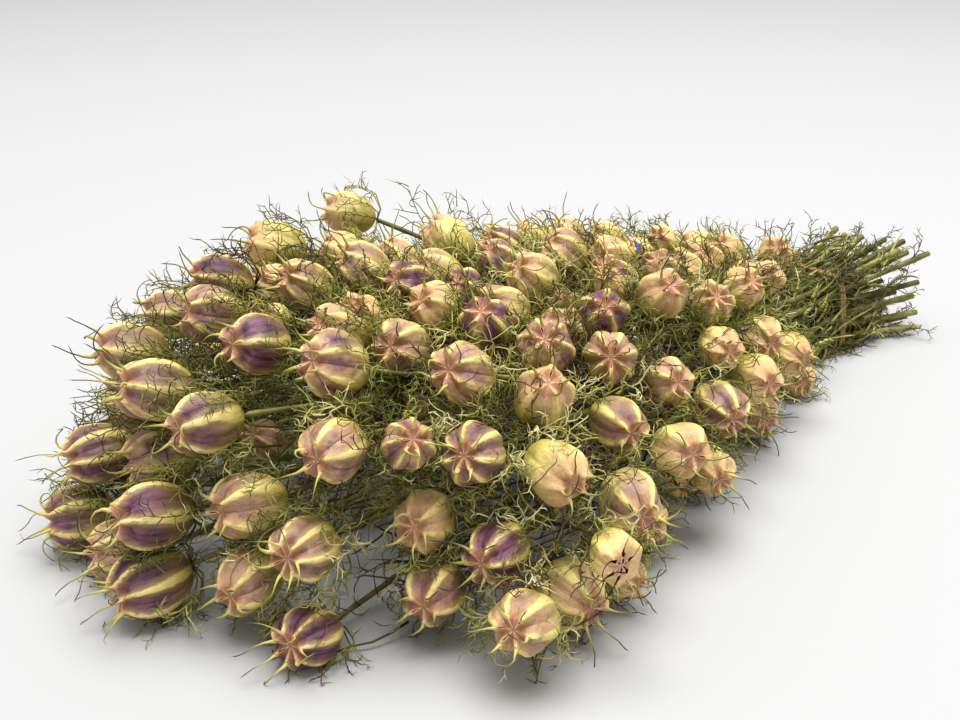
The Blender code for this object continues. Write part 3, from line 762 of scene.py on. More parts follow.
# The husk's outline, as radius over its greatest and height over its length.
HUSK_SIDE = (
    (0.0, -0.01),
    (0.13, -0.005),
    (0.45, 0.045),
    (0.78, 0.18),
    (0.96, 0.38),
    (1.0, 0.55),
    (0.94, 0.70),
    (0.78, 0.83),
    (0.58, 0.92),
    (0.45, 0.975),
)
HUSK_CROWN = ((0.36, 0.97), (0.24, 0.94), (0.12, 0.925), (0.0, 0.92))


def smoothstep(low, high, value):
    """0 below low and 1 above high, with a smooth rise between."""
    t = np.clip((value - low) / (high - low), 0, 1)
    return t * t * (3 - 2 * t)


def read_out(items, name, width, kind=float):
    """The values of this name of all a mesh's items, a row of this width for each."""
    values = np.empty(len(items) * width, kind)
    items.foreach_get(name, values)
    return values.reshape(-1, width)


def husk_master(ribs, rings):
    """One husk, 1 in radius and 1 high: a sphere pulled out to the outline, with lobes, seams, keels and
    slits."""
    columns = ribs * len(LOBE_COLUMNS)
    bpy.ops.mesh.primitive_uv_sphere_add(segments=columns, ring_count=rings, radius=1)
    ball = bpy.context.object
    mesh = ball.data
    points = read_out(mesh.vertices, "co", 3)
    outline = smooth_through(HUSK_SIDE + HUSK_CROWN, 8)
    share = np.arccos(np.clip(-points[:, 2], -1, 1)) / math.pi
    place = share * (len(outline) - 1)
    radius = np.interp(place, np.arange(len(outline)), outline[:, 0])
    rise = np.interp(place, np.arange(len(outline)), outline[:, 1])
    column = np.round(np.arctan2(points[:, 1], points[:, 0]) / math.tau * columns).astype(int) % columns
    lobe, slot = column // len(LOBE_COLUMNS), column % len(LOBE_COLUMNS)
    t = np.array(LOBE_COLUMNS)[slot]
    angle = math.tau * (lobe + t / 2) / ribs
    off = np.abs(t)
    puff = 1 - np.sqrt(1 - (0.98 * off) ** 2)
    depth = SEAM * (0.3 + 0.7 * smoothstep(0.05, 0.4, rise)) * smoothstep(0.0, 0.3, radius)
    high = smoothstep(0.25, 0.85, rise) * smoothstep(0.30, 0.44, radius)
    keel = KEEL * high * np.exp(-((off / 0.17) ** 2))
    full = radius * (1 - depth * puff) + keel
    near_beaks = (rise > 0.75) * np.exp(-(((radius - 0.47) / 0.2) ** 2))
    crown = (rise > 0.8) * smoothstep(0.6, 0.36, radius)
    rise = rise + 0.5 * keel - NOTCH * near_beaks * off**1.5
    rise = rise + 0.018 * crown * np.exp(-(((off - 0.2) / 0.12) ** 2)) * smoothstep(0.06, 0.2, radius)
    shaped = np.stack([full * np.cos(angle), full * np.sin(angle), rise], axis=1)
    mesh.vertices.foreach_set("co", shaped.ravel())
    mesh.attributes.new("rib", "FLOAT", "POINT").data.foreach_set("value", off)
    mesh.attributes.new("crown", "FLOAT", "POINT").data.foreach_set("value", crown)
    mesh.update()
    bpy.ops.object.mode_set(mode="EDIT")
    bpy.ops.mesh.select_all(action="DESELECT")
    bpy.ops.object.mode_set(mode="OBJECT")
    for face in mesh.polygons:
        middle = np.array(face.center)
        radial = np.hypot(middle[0], middle[1])
        turned = (math.atan2(middle[1], middle[0]) / math.tau * ribs) % 1
        face.select = bool(
            middle[2] > 0.85
            and SLIT_SPAN[0] < radial < SLIT_SPAN[1]
            and min(turned, 1 - turned) < SLIT_HALF / 4
        )
    bpy.ops.object.mode_set(mode="EDIT")
    bpy.ops.mesh.select_mode(type="FACE")
    bpy.ops.mesh.extrude_region_move(TRANSFORM_OT_translate={"value": (0, 0, -SLIT_DEPTH)})
    bpy.ops.object.mode_set(mode="OBJECT")
    sunk = np.array([face.select for face in mesh.polygons])
    bpy.ops.object.mode_set(mode="EDIT")
    bpy.ops.mesh.select_all(action="SELECT")
    bpy.ops.mesh.normals_make_consistent(inside=False)
    bpy.ops.object.mode_set(mode="OBJECT")
    points = read_out(mesh.vertices, "co", 3)
    rib = read_out(mesh.attributes["rib"].data, "value", 1)[:, 0]
    crown = read_out(mesh.attributes["crown"].data, "value", 1)[:, 0]
    in_slit = np.zeros(len(points))
    for face, is_sunk in zip(mesh.polygons, sunk):
        if is_sunk:
            in_slit[list(face.vertices)] = 1
    mesh.calc_loop_triangles()
    faces = read_out(mesh.loop_triangles, "vertices", 3, int)
    bpy.data.objects.remove(ball)
    return part_of(points, faces, rib=rib, crown=crown, rise=points[:, 2].copy(), slit=in_slit)


# The husk's skin is worked out in these steps. Each has its name, what it does and what it works on: the
# name of a step or of a field, a number or an sRGB colour. RANGED takes a value, the range that it is in
# and the range that it goes to, which is 0 to 1 if none is given. MIXED takes a share and two colours,
# SHADED multiplies the two, and the rest are plain maths.
SKIN_STEPS = (
    # How far the cream band reaches to either side of the lobe's back, with a ragged edge
    ("streak_off", "SUBTRACT", "streaks", 0.5),
    ("wander", "MULTIPLY", "streak_off", 0.45),
    ("spread", "MULTIPLY_ADD", "pale", 0.22, 0.15),
    ("low_width", "RANGED", "rise", 0.05, 0.75, 0.34, 0.0),
    ("thinned", "MULTIPLY", "blush", 0.05),
    ("whole", "ADD", "spread", "low_width"),
    ("half", "SUBTRACT", "whole", "thinned"),
    ("vein_off", "SUBTRACT", "veins", 0.5),
    ("fringe", "MULTIPLY", "vein_off", 0.4),
    ("wandering", "ADD", "rib", "wander"),
    ("fringed", "ADD", "wandering", "fringe"),
    ("edge", "SUBTRACT", "fringed", "half"),
    ("band", "RANGED", "edge", -0.05, 0.1, 1.0, 0.0),
    ("halo", "RANGED", "edge", 0.0, 0.5, 0.6, 0.0),
    # The panel: rosy tan to deep mauve in blotches, with a golden halo by the band and a dark seam, turning
    # olive to brown towards the base: partly the husk's own olive base, partly painted shade
    ("rosy_share", "RANGED", "blotches", 0.35, 0.65),
    ("rosy", "MIXED", "rosy_share", "#C49C76", "#9C7468"),
    ("deep_share", "RANGED", "streaks", 0.3, 0.7),
    ("deep", "MIXED", "deep_share", "#825064", "#432034"),
    ("blotch_off", "SUBTRACT", "blotches", 0.5),
    ("blotching", "MULTIPLY", "blotch_off", 1.4),
    ("depth", "ADD", "blush", "blotching"),
    ("depth_share", "RANGED", "depth", 0.15, 0.75),
    ("panel", "MIXED", "depth_share", "rosy", "deep"),
    ("haloed", "MIXED", "halo", "panel", "#B99C5A"),
    ("ripe", "SUBTRACT", 0.7, "pale"),
    ("seam_share", "RANGED", "rib", 0.88, 1.0),
    ("seam", "MULTIPLY", "seam_share", "ripe"),
    ("seamed", "MIXED", "seam", "haloed", "#4A2528"),
    # Low on the husk the panel turns olive to brown: the husk's own olive base, with painted shade darkening
    # it
    ("uneven_rise", "ADD", "rise", "wander"),
    ("low_down", "RANGED", "uneven_rise", 0.12, 0.68, 0.95, 0.0),
    ("shaded", "MIXED", "blush", "#B9AA52", "#7E6239"),
    ("whole_panel", "MIXED", "low_down", "seamed", "shaded"),
    # The cream band, greener low down
    ("cream_share", "RANGED", "rise", 0.1, 0.75),
    ("cream", "MIXED", "cream_share", "#BFAC50", "#F5DF8E"),
    ("tan_share", "RANGED", "streaks", 0.45, 0.75, 0.0, 0.5),
    ("streaked", "MIXED", "tan_share", "cream", "#D9BC66"),
    ("striped", "MIXED", "band", "whole_panel", "streaked"),
    # The plain skin of a pale pod, flushed towards its crown
    ("plain_share", "RANGED", "rise", 0.1, 0.7),
    ("plain", "MIXED", "plain_share", "#B7AB4E", "#EBD880"),
    ("half_streaks", "MULTIPLY", "streaks", 0.5),
    ("streaked_rise", "ADD", "rise", "half_streaks"),
    ("flush_share", "RANGED", "streaked_rise", 0.75, 1.2, 0.0, 0.75),
    ("flushed", "MIXED", "flush_share", "plain", "#D79F7C"),
    ("half_blotches", "MULTIPLY", "blotches", 0.5),
    ("paleness", "ADD", "pale", "half_blotches"),
    ("fading", "RANGED", "paleness", 0.4, 1.0),
    ("faded", "MIXED", "fading", "striped", "flushed"),
    # The crown's star, the veins over everything, and the slits painted near black as painted shade of the
    # hollow inside
    ("star_share", "RANGED", "rib", 0.08, 0.4),
    ("star", "MIXED", "star_share", "#E6C08E", "#AE7558"),
    ("crown_share", "MULTIPLY", "crown", 0.8),
    ("crowned", "MIXED", "crown_share", "faded", "star"),
    ("vein_shade", "RANGED", "veins", 0.3, 0.7, 0.85, 1.15),
    ("veined", "SHADED", 1.0, "crowned", "vein_shade"),
    ("slit_share", "RANGED", "slit", 0.2, 0.7),
    ("skin", "MIXED", "slit_share", "veined", "#0D0906"),
    ("roughness", "RANGED", "veins", 0.3, 0.7, 0.42, 0.62),
    ("deep_streaks", "MULTIPLY", "streaks", 1.6),
    ("wrinkles", "ADD", "deep_streaks", "veins"),
)
SKIN_FIELDS = ("rib", "rise", "crown", "slit", "blush", "pale", "local_x", "local_y", "local_z")
MIX_KINDS = {"MIXED": "MIX", "SHADED": "MULTIPLY"}


def papery_husk():
    """The husk's dry skin, thin as paper and faintly satiny, with lengthwise veins and soft wrinkles. The
    real veins are finer, and are drawn coarser so that they show."""
    made = new_material("papery_nigella_husk", IOR=1.45)
    read = {}
    for name in SKIN_FIELDS:
        read[name] = add_node(made, "ShaderNodeAttribute", output="Fac", attribute_name=name)
    place = {axis: read["local_" + axis.lower()] for axis in "XYZ"}
    local = add_node(made, "ShaderNodeCombineXYZ", place)
    drawn = add_node(made, "ShaderNodeMapping", {"Vector": local, "Scale": (1, 1, 0.14)})
    noises = (
        ("veins", {"Vector": drawn, "Scale": 1 / (0.9 * MM), "Detail": 4.0, "Roughness": 0.6}),
        ("blotches", {"Vector": local, "Scale": 1 / (7 * MM), "Detail": 4.0, "Roughness": 0.55}),
        ("streaks", {"Vector": drawn, "Scale": 1 / (2.6 * MM), "Detail": 3.0}),
    )
    for name, inputs in noises:
        read[name] = add_node(made, "ShaderNodeTexNoise", inputs)
    for name, kind, *sources in SKIN_STEPS:
        for i, source in enumerate(sources):
            if isinstance(source, str):
                sources[i] = linear(source[1:]) if source.startswith("#") else read[source]
        if kind == "RANGED":
            inputs = dict(zip(("Value", "From Min", "From Max", "To Min", "To Max"), sources))
            read[name] = add_node(made, "ShaderNodeMapRange", inputs, interpolation_type="SMOOTHSTEP")
        elif kind in MIX_KINDS:
            inputs = dict(zip((0, 6, 7), sources))
            settings = {"data_type": "RGBA", "blend_type": MIX_KINDS[kind]}
            read[name] = add_node(made, "ShaderNodeMix", inputs, output=2, **settings)
        else:
            read[name] = add_node(made, "ShaderNodeMath", enumerate(sources), operation=kind)
    relief = {"Height": read["wrinkles"], "Strength": 0.55, "Distance": 0.35 * MM}
    bump = add_node(made, "ShaderNodeBump", relief)
    return finished(made, Base_Color=read["skin"], Roughness=read["roughness"], Normal=bump)


def dried_style():
    """The styles: green where they leave the husk, drying to near black at their curled tips."""
    made = new_material("dried_style", IOR=1.45, Roughness=0.6)
    along = add_node(made, "ShaderNodeAttribute", output="Fac", attribute_name="along")
    tint = add_node(made, "ShaderNodeAttribute", output="Fac", attribute_name="tint")
    aged = add_node(made, "ShaderNodeMath", {0: along, 1: tint}, operation="ADD")
    greens = ((0.0, "DDD07A"), (0.35, "A09C48"), (0.6, "5A5228"), (0.85, "241C14"))
    colour = add_node(made, "ShaderNodeValToRGB", {"Fac": aged}, greens)
    where = add_node(made, "ShaderNodeTexCoord", output="Object")
    fine = {"Vector": where, "Scale": 1 / (0.5 * MM), "Detail": 2.0}
    grain = add_node(made, "ShaderNodeTexNoise", fine)
    bump = add_node(made, "ShaderNodeBump", {"Height": grain, "Strength": 0.4, "Distance": 0.05 * MM})
    return finished(made, Base_Color=colour, Normal=bump)


STYLE_STEPS = 8
STYLE_SIDES = 4
STYLE_REACH = 0.6
STYLE_CUTS = (1.0, 0.75, 0.5, 0.3)
STYLE_ROOT = 0.85 * MM
STYLE_TIP = 0.2 * MM
STYLE_TAPER = 4
STYLE_APART = 0.245
STYLE_CURL = 0.34


def frame_round(axis, roll):
    """Two directions across an axis, turned about it by roll."""
    helper = Vector((0, 0, 1)) if abs(axis.z) < 0.9 else Vector((1, 0, 0))
    u = axis.cross(helper).normalized()
    v = axis.cross(u).normalized()
    return u * math.cos(roll) + v * math.sin(roll), v * math.cos(roll) - u * math.sin(roll)


def pod_frame(pod):
    """The pod's own three axes, the last along it."""
    u, v = frame_round(pod["axis"], pod["roll"])
    return np.array([u, v, pod["axis"]])


def grow(starts, headings, lengths, steps, curl):
    """Threads that curl as they dry: each bends steadily about an axis that itself wanders."""
    count = len(starts)
    points = np.empty((count, steps + 1, 3))
    points[:, 0] = starts
    heading = unit(np.array(headings, float))
    stride = (np.array(lengths) / steps)[:, None]
    hinge = unit(gen.normal(size=(count, 3)))
    bend = gen.normal(scale=curl, size=(count, 1))
    for i in range(steps):
        points[:, i + 1] = points[:, i] + heading * stride
        hinge = unit(hinge + gen.normal(scale=0.35, size=(count, 3)))
        stray = gen.normal(scale=curl * 0.35, size=(count, 3))
        heading = unit(heading + np.cross(hinge, heading) * bend + stray)
    return points


def husk(pod, master, blush, pale):
    """A copy of the master husk at its pod's size and place, a little lopsided in its own way."""
    local = master["points"].copy()
    angle = np.arctan2(local[:, 1], local[:, 0])
    phases = gen.uniform(0, math.tau, 3)
    swell = 1 + 0.035 * np.sin(2 * angle + phases[0]) + 0.02 * np.sin(3 * angle + phases[1])
    lean = 0.05 * local[:, 2] ** 2
    local[:, 0] = local[:, 0] * swell + lean * math.cos(phases[2])
    local[:, 1] = local[:, 1] * swell + lean * math.sin(phases[2])
    sized = local * np.array([pod["width"] / 2, pod["width"] / 2, pod["length"]])
    points = np.array(pod_base(pod)) + sized @ pod_frame(pod)
    far_off = gen.uniform(-1, 1, 3)
    return {
        "points": points,
        "faces": master["faces"],
        "material": master["material"],
        "fields": master["fields"]
        | {
            "local_x": sized[:, 0] + far_off[0],
            "local_y": sized[:, 1] + far_off[1],
            "local_z": sized[:, 2] + far_off[2],
            "blush": np.full(len(points), blush),
            "pale": np.full(len(points), pale),
        },
    }


def styles(pod, bars):
    """The styles of one pod, each rising from the end of its keel and shortened where a neighbour is."""
    across = pod_frame(pod)
    top = np.array(pod_base(pod)) + across[2] * pod["length"] * 0.985
    starts, headings, lengths = [], [], []
    for k in range(pod["ribs"]):
        turn = math.tau * k / pod["ribs"]
        out = across[0] * math.cos(turn) + across[1] * math.sin(turn)
        root = top + out * pod["width"] * STYLE_APART
        lean = across[2] * 0.86 + out * gen.uniform(0.3, 0.7)
        for share in STYLE_CUTS:
            reach = pod["length"] * STYLE_REACH * share
            if is_clear(bars, [Vector(root + lean * 2 * MM), Vector(root + lean * reach)], 0.3 * MM):
                break
        starts.append(root - lean * 0.8 * MM)
        headings.append(lean)
        lengths.append(reach * gen.uniform(0.9, 1.15))
    paths = grow(starts, headings, lengths, STYLE_STEPS, STYLE_CURL)
    share = np.linspace(0, 1, STYLE_STEPS + 1)
    radii = STYLE_TIP + (STYLE_ROOT - STYLE_TIP) * (1 - share[:-1]) ** STYLE_TAPER
    tubes, faces = skin_tubes(paths, np.tile(radii, (len(paths), 1)), STYLE_SIDES)
    along = each_ring(np.tile(share, (len(paths), 1)), STYLE_SIDES)
    return part_of(tubes, faces, 1, along=along, tint=gen.uniform(-0.15, 0.2))


# Pods near the tie are paler, and those far from it are more deeply striped.
BLUSH = (0.56, 0.33)
PALE_SWAY = 0.25
YOUNG_PALE = (0.8, 1)
husks = {}
for ribs, rings in itertools.product((5, 6, 7), (POD_RINGS, EXTRA_RINGS)):
    husks[ribs, rings] = husk_master(ribs, rings)
husk_material = papery_husk()
style_material = dried_style()
for stem in stems:
    neighbours = [i for i, owner in enumerate(room.owners) if owner != stem["name"]]
    bars = (
        np.array([room.starts[i] + from_tie for i in neighbours]),
        np.array([room.ends[i] + from_tie for i in neighbours]),
        np.array([room.radii[i] for i in neighbours]),
    )
    parts = []
    for pod in stem["pods"]:
        grown = pod["distance"] / REACH
        blush = np.clip(gen.normal(*BLUSH), 0, 1) * (0.55 + 0.5 * grown)
        pale = np.clip(gen.normal(0.82 - 0.85 * grown, PALE_SWAY), 0, 1)
        if pod.get("kind") == "young":
            blush, pale = 0, gen.uniform(*YOUNG_PALE)
        rings = EXTRA_RINGS if "kind" in pod else POD_RINGS
        parts.append(husk(pod, husks[pod["ribs"], rings], blush, pale))
        parts.append(styles(pod, bars))
    name = stem["name"].replace("stem", "pods")
    make_piece(name, parts, [husk_material, style_material], [stem["name"]])

# Bracts and leaves
# Love-in-a-mist has leaves cut into threads. A collar of them stands round every pod and tangles with
# its neighbours, and more grow along the stems. Dried, they curl, and range from olive to straw.

# Half the width and the height of the pod that the bracts are drawn round, in millimetres
POD_HALF = 12.0
POD_TALL = 28.0
HUSK_TOP = 0.97
BRACT_KINDS = 10
BRACTS_EACH = 8
EXTRA_BRACTS = 4
# The pods at the end of the fan have fuller collars.
FULL_FROM = 265 * MM
FULLER = 4
LEAF_KINDS = 10
LEAF_LONG = 34 * MM
THREAD_SIDES = 3
OFF_HUSK = 0.45 * MM
# Each kind of thread: its radius at the root and the tip, and how far along its leaf it starts and ends.
THREADS = {
    "rib": (0.36 * MM, 0.2 * MM, 0.0, 0.85),
    "fork": (0.27 * MM, 0.15 * MM, 0.2, 1.0),
    "twig": (0.22 * MM, 0.12 * MM, 0.45, 1.0),
    "curl": (0.26 * MM, 0.16 * MM, 0.1, 0.9),
    "shoot": (0.6 * MM, 0.3 * MM, 0.0, 0.6),
    "stalk": (1.0 * MM, 0.35 * MM, 0.0, 0.7),
}


def husk_radius(rise):
    """The husk's radius at this height, without its lobes."""
    outline = smooth_through(HUSK_SIDE, 6)
    return np.interp(rise, outline[:, 1], outline[:, 0])


def off_skin(points):
    """Threads pushed out of the husk that they lie on, in millimetres round a pod of the master's size."""
    points = points.copy()
    radial = np.hypot(points[..., 0], points[..., 1])
    rise = points[..., 2] / POD_TALL
    least = np.where((rise > 0) & (rise < HUSK_TOP), POD_HALF * husk_radius(rise) + 0.5, 0)
    scale = np.maximum(1, least / np.maximum(radial, 1e-6))
    points[..., 0] *= scale
    points[..., 1] *= scale
    return points


def side_threads(spine, shares, lengths, steps, curl, spread, out_push=0.0):
    """Threads that fork from a spine to either side in turn."""
    place = np.array(shares) * (len(spine) - 1)
    low = np.minimum(place.astype(int), len(spine) - 2)
    part = (place - low)[:, None]
    starts = spine[low] * (1 - part) + spine[low + 1] * part
    tangents = unit(spine[low + 1] - spine[low])
    sides = unit(np.cross(tangents, unit(gen.normal(size=tangents.shape))))
    outward = unit(starts * np.array([1, 1, 0]) + 1e-9) * out_push
    return grow(starts, tangents * 0.65 + sides * spread + outward, lengths, steps, curl)


def bract_master():
    """One bract for a pod of the master's size: a rib that arches up round the husk, with threads that
    fork and fork again."""
    stand = gen.uniform(1.2, 5.0)
    reach = gen.uniform(0.55, 1.1)
    sway = gen.normal(scale=2.0, size=5).cumsum() * 0.6
    spine = np.array(
        [
            (0.8, 0, -1.2),
            (6.5, sway[0] * 0.5, -0.8 - stand * 0.3),
            (11.0 + stand * 0.5, sway[1], 2.5),
            (12.6 + stand * 0.9, sway[2], 9.5 * reach + 1),
            (12.8 + stand, sway[3], 17 * reach),
            (12.0 + stand * 0.8, sway[4], 24 * reach),
        ]
    )
    spine = off_skin(smooth_through(spine, 2))[[0, 2, 4, 5, 6, 8, 9, 10]]
    shares = np.linspace(0.3, 0.97, 7)
    forks = off_skin(side_threads(spine, shares, gen.uniform(8, 15, 7), 4, 0.75, 0.9, 0.12))
    twigs = []
    for fork in forks:
        twigs.append(side_threads(fork, gen.uniform(0.25, 0.8, 1), gen.uniform(4, 7, 1), 2, 0.8, 0.9))
    twigs = off_skin(np.concatenate(twigs))
    return {"rib": spine[None] * MM, "fork": forks * MM, "twig": twigs * MM}


def leaf_master():
    """One feathery leaf along +Z."""
    spine = grow([(0, 0, 0)], [(0, 0, 1)], [LEAF_LONG], 7, 0.24)[0]
    forks = side_threads(spine, np.linspace(0.12, 0.96, 9), gen.uniform(9, 17, 9) * MM, 4, 0.68, 0.8)
    twigs = []
    for fork in forks:
        twigs.append(side_threads(fork, gen.uniform(0.2, 0.75, 1), gen.uniform(4, 8, 1) * MM, 2, 0.8, 0.9))
    return {"rib": spine[None], "fork": forks, "twig": np.concatenate(twigs)}


every_pod = [pod for stem in stems for pod in stem["pods"]]


def clear_of_husks(paths):
    """The threads' points moved out of every husk and off the floor."""
    points = paths.reshape(-1, 3).copy()
    for pod in every_pod:
        axes = pod_frame(pod)
        from_pod = points - np.array(pod["centre"])
        near = np.flatnonzero((from_pod**2).sum(axis=1) < (pod["length"] * 0.62) ** 2)
        local = from_pod[near] @ axes.T
        rise = local[:, 2] / pod["length"] + 0.5
        radial = np.maximum(np.hypot(local[:, 0], local[:, 1]), 0.2 * MM)
        least = husk_radius(rise) * pod["width"] / 2 * 1.04 + OFF_HUSK
        inside = (rise > 0) & (rise < HUSK_TOP) & (radial < least)
        local[inside, :2] *= (least / radial)[inside, None]
        points[near[inside]] = np.array(pod["centre"]) + local[inside] @ axes
    points[:, 2] = np.maximum(points[:, 2], OFF_HUSK)
    return points.reshape(paths.shape)


# Where the leaves are tinted darker brown: the place from the middle of the tie, how far it spreads, and the
# tint there.
DARKER_LEAF_PLACES = (
    ((-350 * MM, 25 * MM, 60 * MM), 80 * MM, 0.45),
    ((-291 * MM, 40 * MM, 72 * MM), 26 * MM, 0.08),
    ((-6 * MM, -4 * MM, 48 * MM), 15 * MM, 0.2),
    ((-216 * MM, -62 * MM, 68 * MM), 16 * MM, 0.2),
    ((-201 * MM, -85 * MM, 62 * MM), 16 * MM, 0.2),
)


class Tangle:
    """The threads of one piece: the middle lines of each kind, and each thread's tint."""

    def __init__(self):
        self.lines = {kind: [] for kind in THREADS}
        self.tints = {kind: [] for kind in THREADS}

    def add(self, kind, paths, tint):
        tints = tint + gen.uniform(-0.1, 0.1, len(paths))
        for place, reach, brown in DARKER_LEAF_PLACES:
            apart = np.linalg.norm(paths[:, 0] - np.array(from_tie + Vector(place)), axis=1)
            tints += (brown - tints) * np.exp(-((apart / reach) ** 2))
        self.lines[kind].append(paths)
        self.tints[kind].append(tints)

    def add_leaf(self, master, axes, scale, at, tint):
        for kind, paths in master.items():
            self.add(kind, paths * scale @ axes + at, tint)

    def parts(self):
        made = []
        for kind, (thick, thin, first, last) in THREADS.items():
            if not self.lines[kind]:
                continue
            paths = clear_of_husks(np.concatenate(self.lines[kind]))
            count, steps = paths.shape[:2]
            share = np.linspace(0, 1, steps)
            radii = np.tile(thick + (thin - thick) * share[:-1], (count, 1))
            tubes, faces = skin_tubes(paths, radii, THREAD_SIDES)
            along = each_ring(np.tile(first + (last - first) * share, (count, 1)), THREAD_SIDES)
            tints = np.repeat(np.concatenate(self.tints[kind]), len(tubes) // count)
            made.append(part_of(tubes, faces, along=along, tint=tints))
        return made


def thread_leaf():
    """Thread-like leaves, dried: dull, hair-thin, olive to pale straw, with brown patches and dark tips."""
    made = new_material("dried_thread_leaf", IOR=1.45, Roughness=0.62)
    along = add_node(made, "ShaderNodeAttribute", output="Fac", attribute_name="along")
    tint = add_node(made, "ShaderNodeAttribute", output="Fac", attribute_name="tint")
    where = add_node(made, "ShaderNodeTexCoord", output="Object")
    wide = {"Vector": where, "Scale": 1 / (16 * MM), "Detail": 3.0}
    patches = add_node(made, "ShaderNodeTexNoise", wide)
    drifting = {"Value": patches, "From Min": 0.3, "From Max": 0.7, "To Min": -0.2, "To Max": 0.18}
    drift = add_node(made, "ShaderNodeMapRange", drifting)
    aged = add_node(made, "ShaderNodeMath", {0: tint, 1: drift}, operation="ADD")
    rust = (0.2, "5C3A28")
    olives = ((0.38, "484818"), (0.58, "77772C"), (0.78, "B3AC57"))
    stops = ((0.0, "17110C"), rust, *olives, (1.0, "E6DEA6"))
    body = add_node(made, "ShaderNodeValToRGB", {"Fac": aged}, stops)
    tipped = {"Value": along, "From Min": 0.78, "From Max": 1.0, "To Min": 0.0, "To Max": 0.7}
    tip = add_node(made, "ShaderNodeMapRange", tipped)
    darkened = {0: tip, 6: body, 7: linear("2A1F14")}
    colour = add_node(made, "ShaderNodeMix", darkened, output=2, data_type="RGBA")
    return finished(made, Base_Color=colour)


leaf_material = thread_leaf()
bracts = [bract_master() for _ in range(BRACT_KINDS)]
leaves = [leaf_master() for _ in range(LEAF_KINDS)]
BRACT_TINT = (0.66, 0.19)
LYING = np.array([1, 1, 0.55])


def axes_along(heading):
    """Three axes with the last along the heading, turned about it at random."""
    heading = unit(heading)
    across = unit(np.cross(heading, gen.normal(size=3)))
    return np.array([across, np.cross(heading, across), heading])


def add_collar(tangle, pod):
    """The bracts round one pod."""
    across = pod_frame(pod)
    scale = pod["width"] / 2 / (POD_HALF * MM)
    count = EXTRA_BRACTS if "kind" in pod else BRACTS_EACH
    if pod["distance"] > FULL_FROM:
        count += FULLER
    for k in range(count):
        turn = math.tau * (k + gen.uniform(-0.3, 0.3)) / count
        out = across[0] * math.cos(turn) + across[1] * math.sin(turn)
        axes = np.array([out, np.cross(across[2], out), across[2]])
        master = bracts[gen.integers(BRACT_KINDS)]
        tangle.add_leaf(master, axes, scale, np.array(pod_base(pod)), gen.normal(*BRACT_TINT))


def add_leaves(tangle, path, first, last, every, outward, upward, tint, scale=0.95):
    """Leaves from a stem, each heading on and out."""
    line = smooth_through(path, STEM_STEPS)
    walked = walked_along(line)
    at = first + gen.uniform(0, every)
    while at < walked[-1] - last:
        place = np.array([np.interp(at, walked, line[:, i]) for i in range(3)])
        before = np.array([np.interp(at - 2 * MM, walked, line[:, i]) for i in range(3)])
        forward = unit(place - before)
        heading = forward * 0.7 + unit(gen.normal(size=3)) * outward * LYING + np.array([0, 0, upward])
        master = leaves[gen.integers(LEAF_KINDS)]
        size = scale * gen.uniform(0.8, 1.2)
        tangle.add_leaf(master, axes_along(heading), size, place, gen.normal(tint, 0.15))
        at += every * gen.uniform(0.6, 1.4)


def add_loose(tangle, kind, stem, count, lengths, steps, curl, rise, tint, straying):
    """Loose threads that lie along and between the stems."""
    end = stem["pods"][0]["distance"] - lengths[1] * 0.8
    spots = np.sqrt(gen.uniform(0.002, 1, count)) * end
    starts = np.array([on_run(stem, d) + from_tie for d in spots])
    starts += gen.normal(size=(count, 3)) * (1.5 * MM + spots[:, None] * 0.03) * np.array([1, 1, 0])
    starts[:, 2] += gen.uniform(rise[0], rise[1], count)
    starts[:, 2] = np.maximum(starts[:, 2], 1 * MM)
    headings = np.array(ahead(stem["turn"])) + gen.normal(size=(count, 3)) * straying * LYING
    paths = grow(starts, headings, gen.uniform(*lengths, count), steps, curl)
    ends = paths[:, -1] - np.array(from_tie)
    inside = np.abs(ends[:, 1]) < WAIST_HALF - ends[:, 0] * math.tan(FAN_HALF) + FAN_MARGIN
    tangle.add(kind, paths[inside], gen.normal(tint, 0.12, inside.sum()))


UPWARD = {"low": 0.05, "mid": 0.1, "top": 0.1}
LEAF_EVERY = {"low": 60 * MM, "mid": 50 * MM, "top": 27 * MM}
# The leaves of the lower layers are tinted darker than those on top: painted shade inside the bunch.
LEAF_TINT = {"low": 0.34, "mid": 0.38, "top": 0.5}
# The shoots are loose stalks laid low under the stems; their dark brown tint is painted shade that fills the
# gaps inside the bunch.
SHOOTS = {"low": 22, "mid": 24, "top": 22}
SHOOT_LONG = (26 * MM, 50 * MM)
SHOOT_RISE = (-10 * MM, 1 * MM)
CURLS = {"low": 55, "mid": 55, "top": 135}
CURL_LONG = (13 * MM, 25 * MM)
CURL_RISE = (-4 * MM, 8 * MM)
GROUP = {"low": 6, "mid": 6, "top": 4}
FAN_MARGIN = 2 * MM
for layer in ("low", "mid", "top"):
    layer_stems = [stem for stem in stems if stem["layer"] == layer]
    every, upward, tint = LEAF_EVERY[layer], UPWARD[layer], LEAF_TINT[layer]
    for first in range(0, len(layer_stems), GROUP[layer]):
        tangle = Tangle()
        for stem in layer_stems[first : first + GROUP[layer]]:
            path = stem["path"]
            add_leaves(tangle, path, stem["tail"] + 8 * MM, 12 * MM, every, 0.75, upward, tint)
            back = list(reversed(path[:2]))
            add_leaves(tangle, back, 0, 8 * MM, 11 * MM, 0.4, 0.05, 0.56, 0.5)
            for pod in stem["pods"]:
                add_collar(tangle, pod)
                if "path" in pod:
                    add_leaves(tangle, pod["path"], 8 * MM, 4 * MM, 28 * MM, 0.8, upward, 0.55)
            add_loose(tangle, "shoot", stem, SHOOTS[layer], SHOOT_LONG, 6, 0.22, SHOOT_RISE, 0.2, 0.4)
            add_loose(tangle, "curl", stem, CURLS[layer], CURL_LONG, 6, 0.85, CURL_RISE, 0.56, 0.9)
        make_piece(f"foliage_{layer}_{first // GROUP[layer] + 1}", tangle.parts(), [leaf_material])

# A dried petal
# One blue-violet petal from a last late flower. It is thin and dry, cupped along its middle, and lies
# caught in the leaves on top of the bunch.

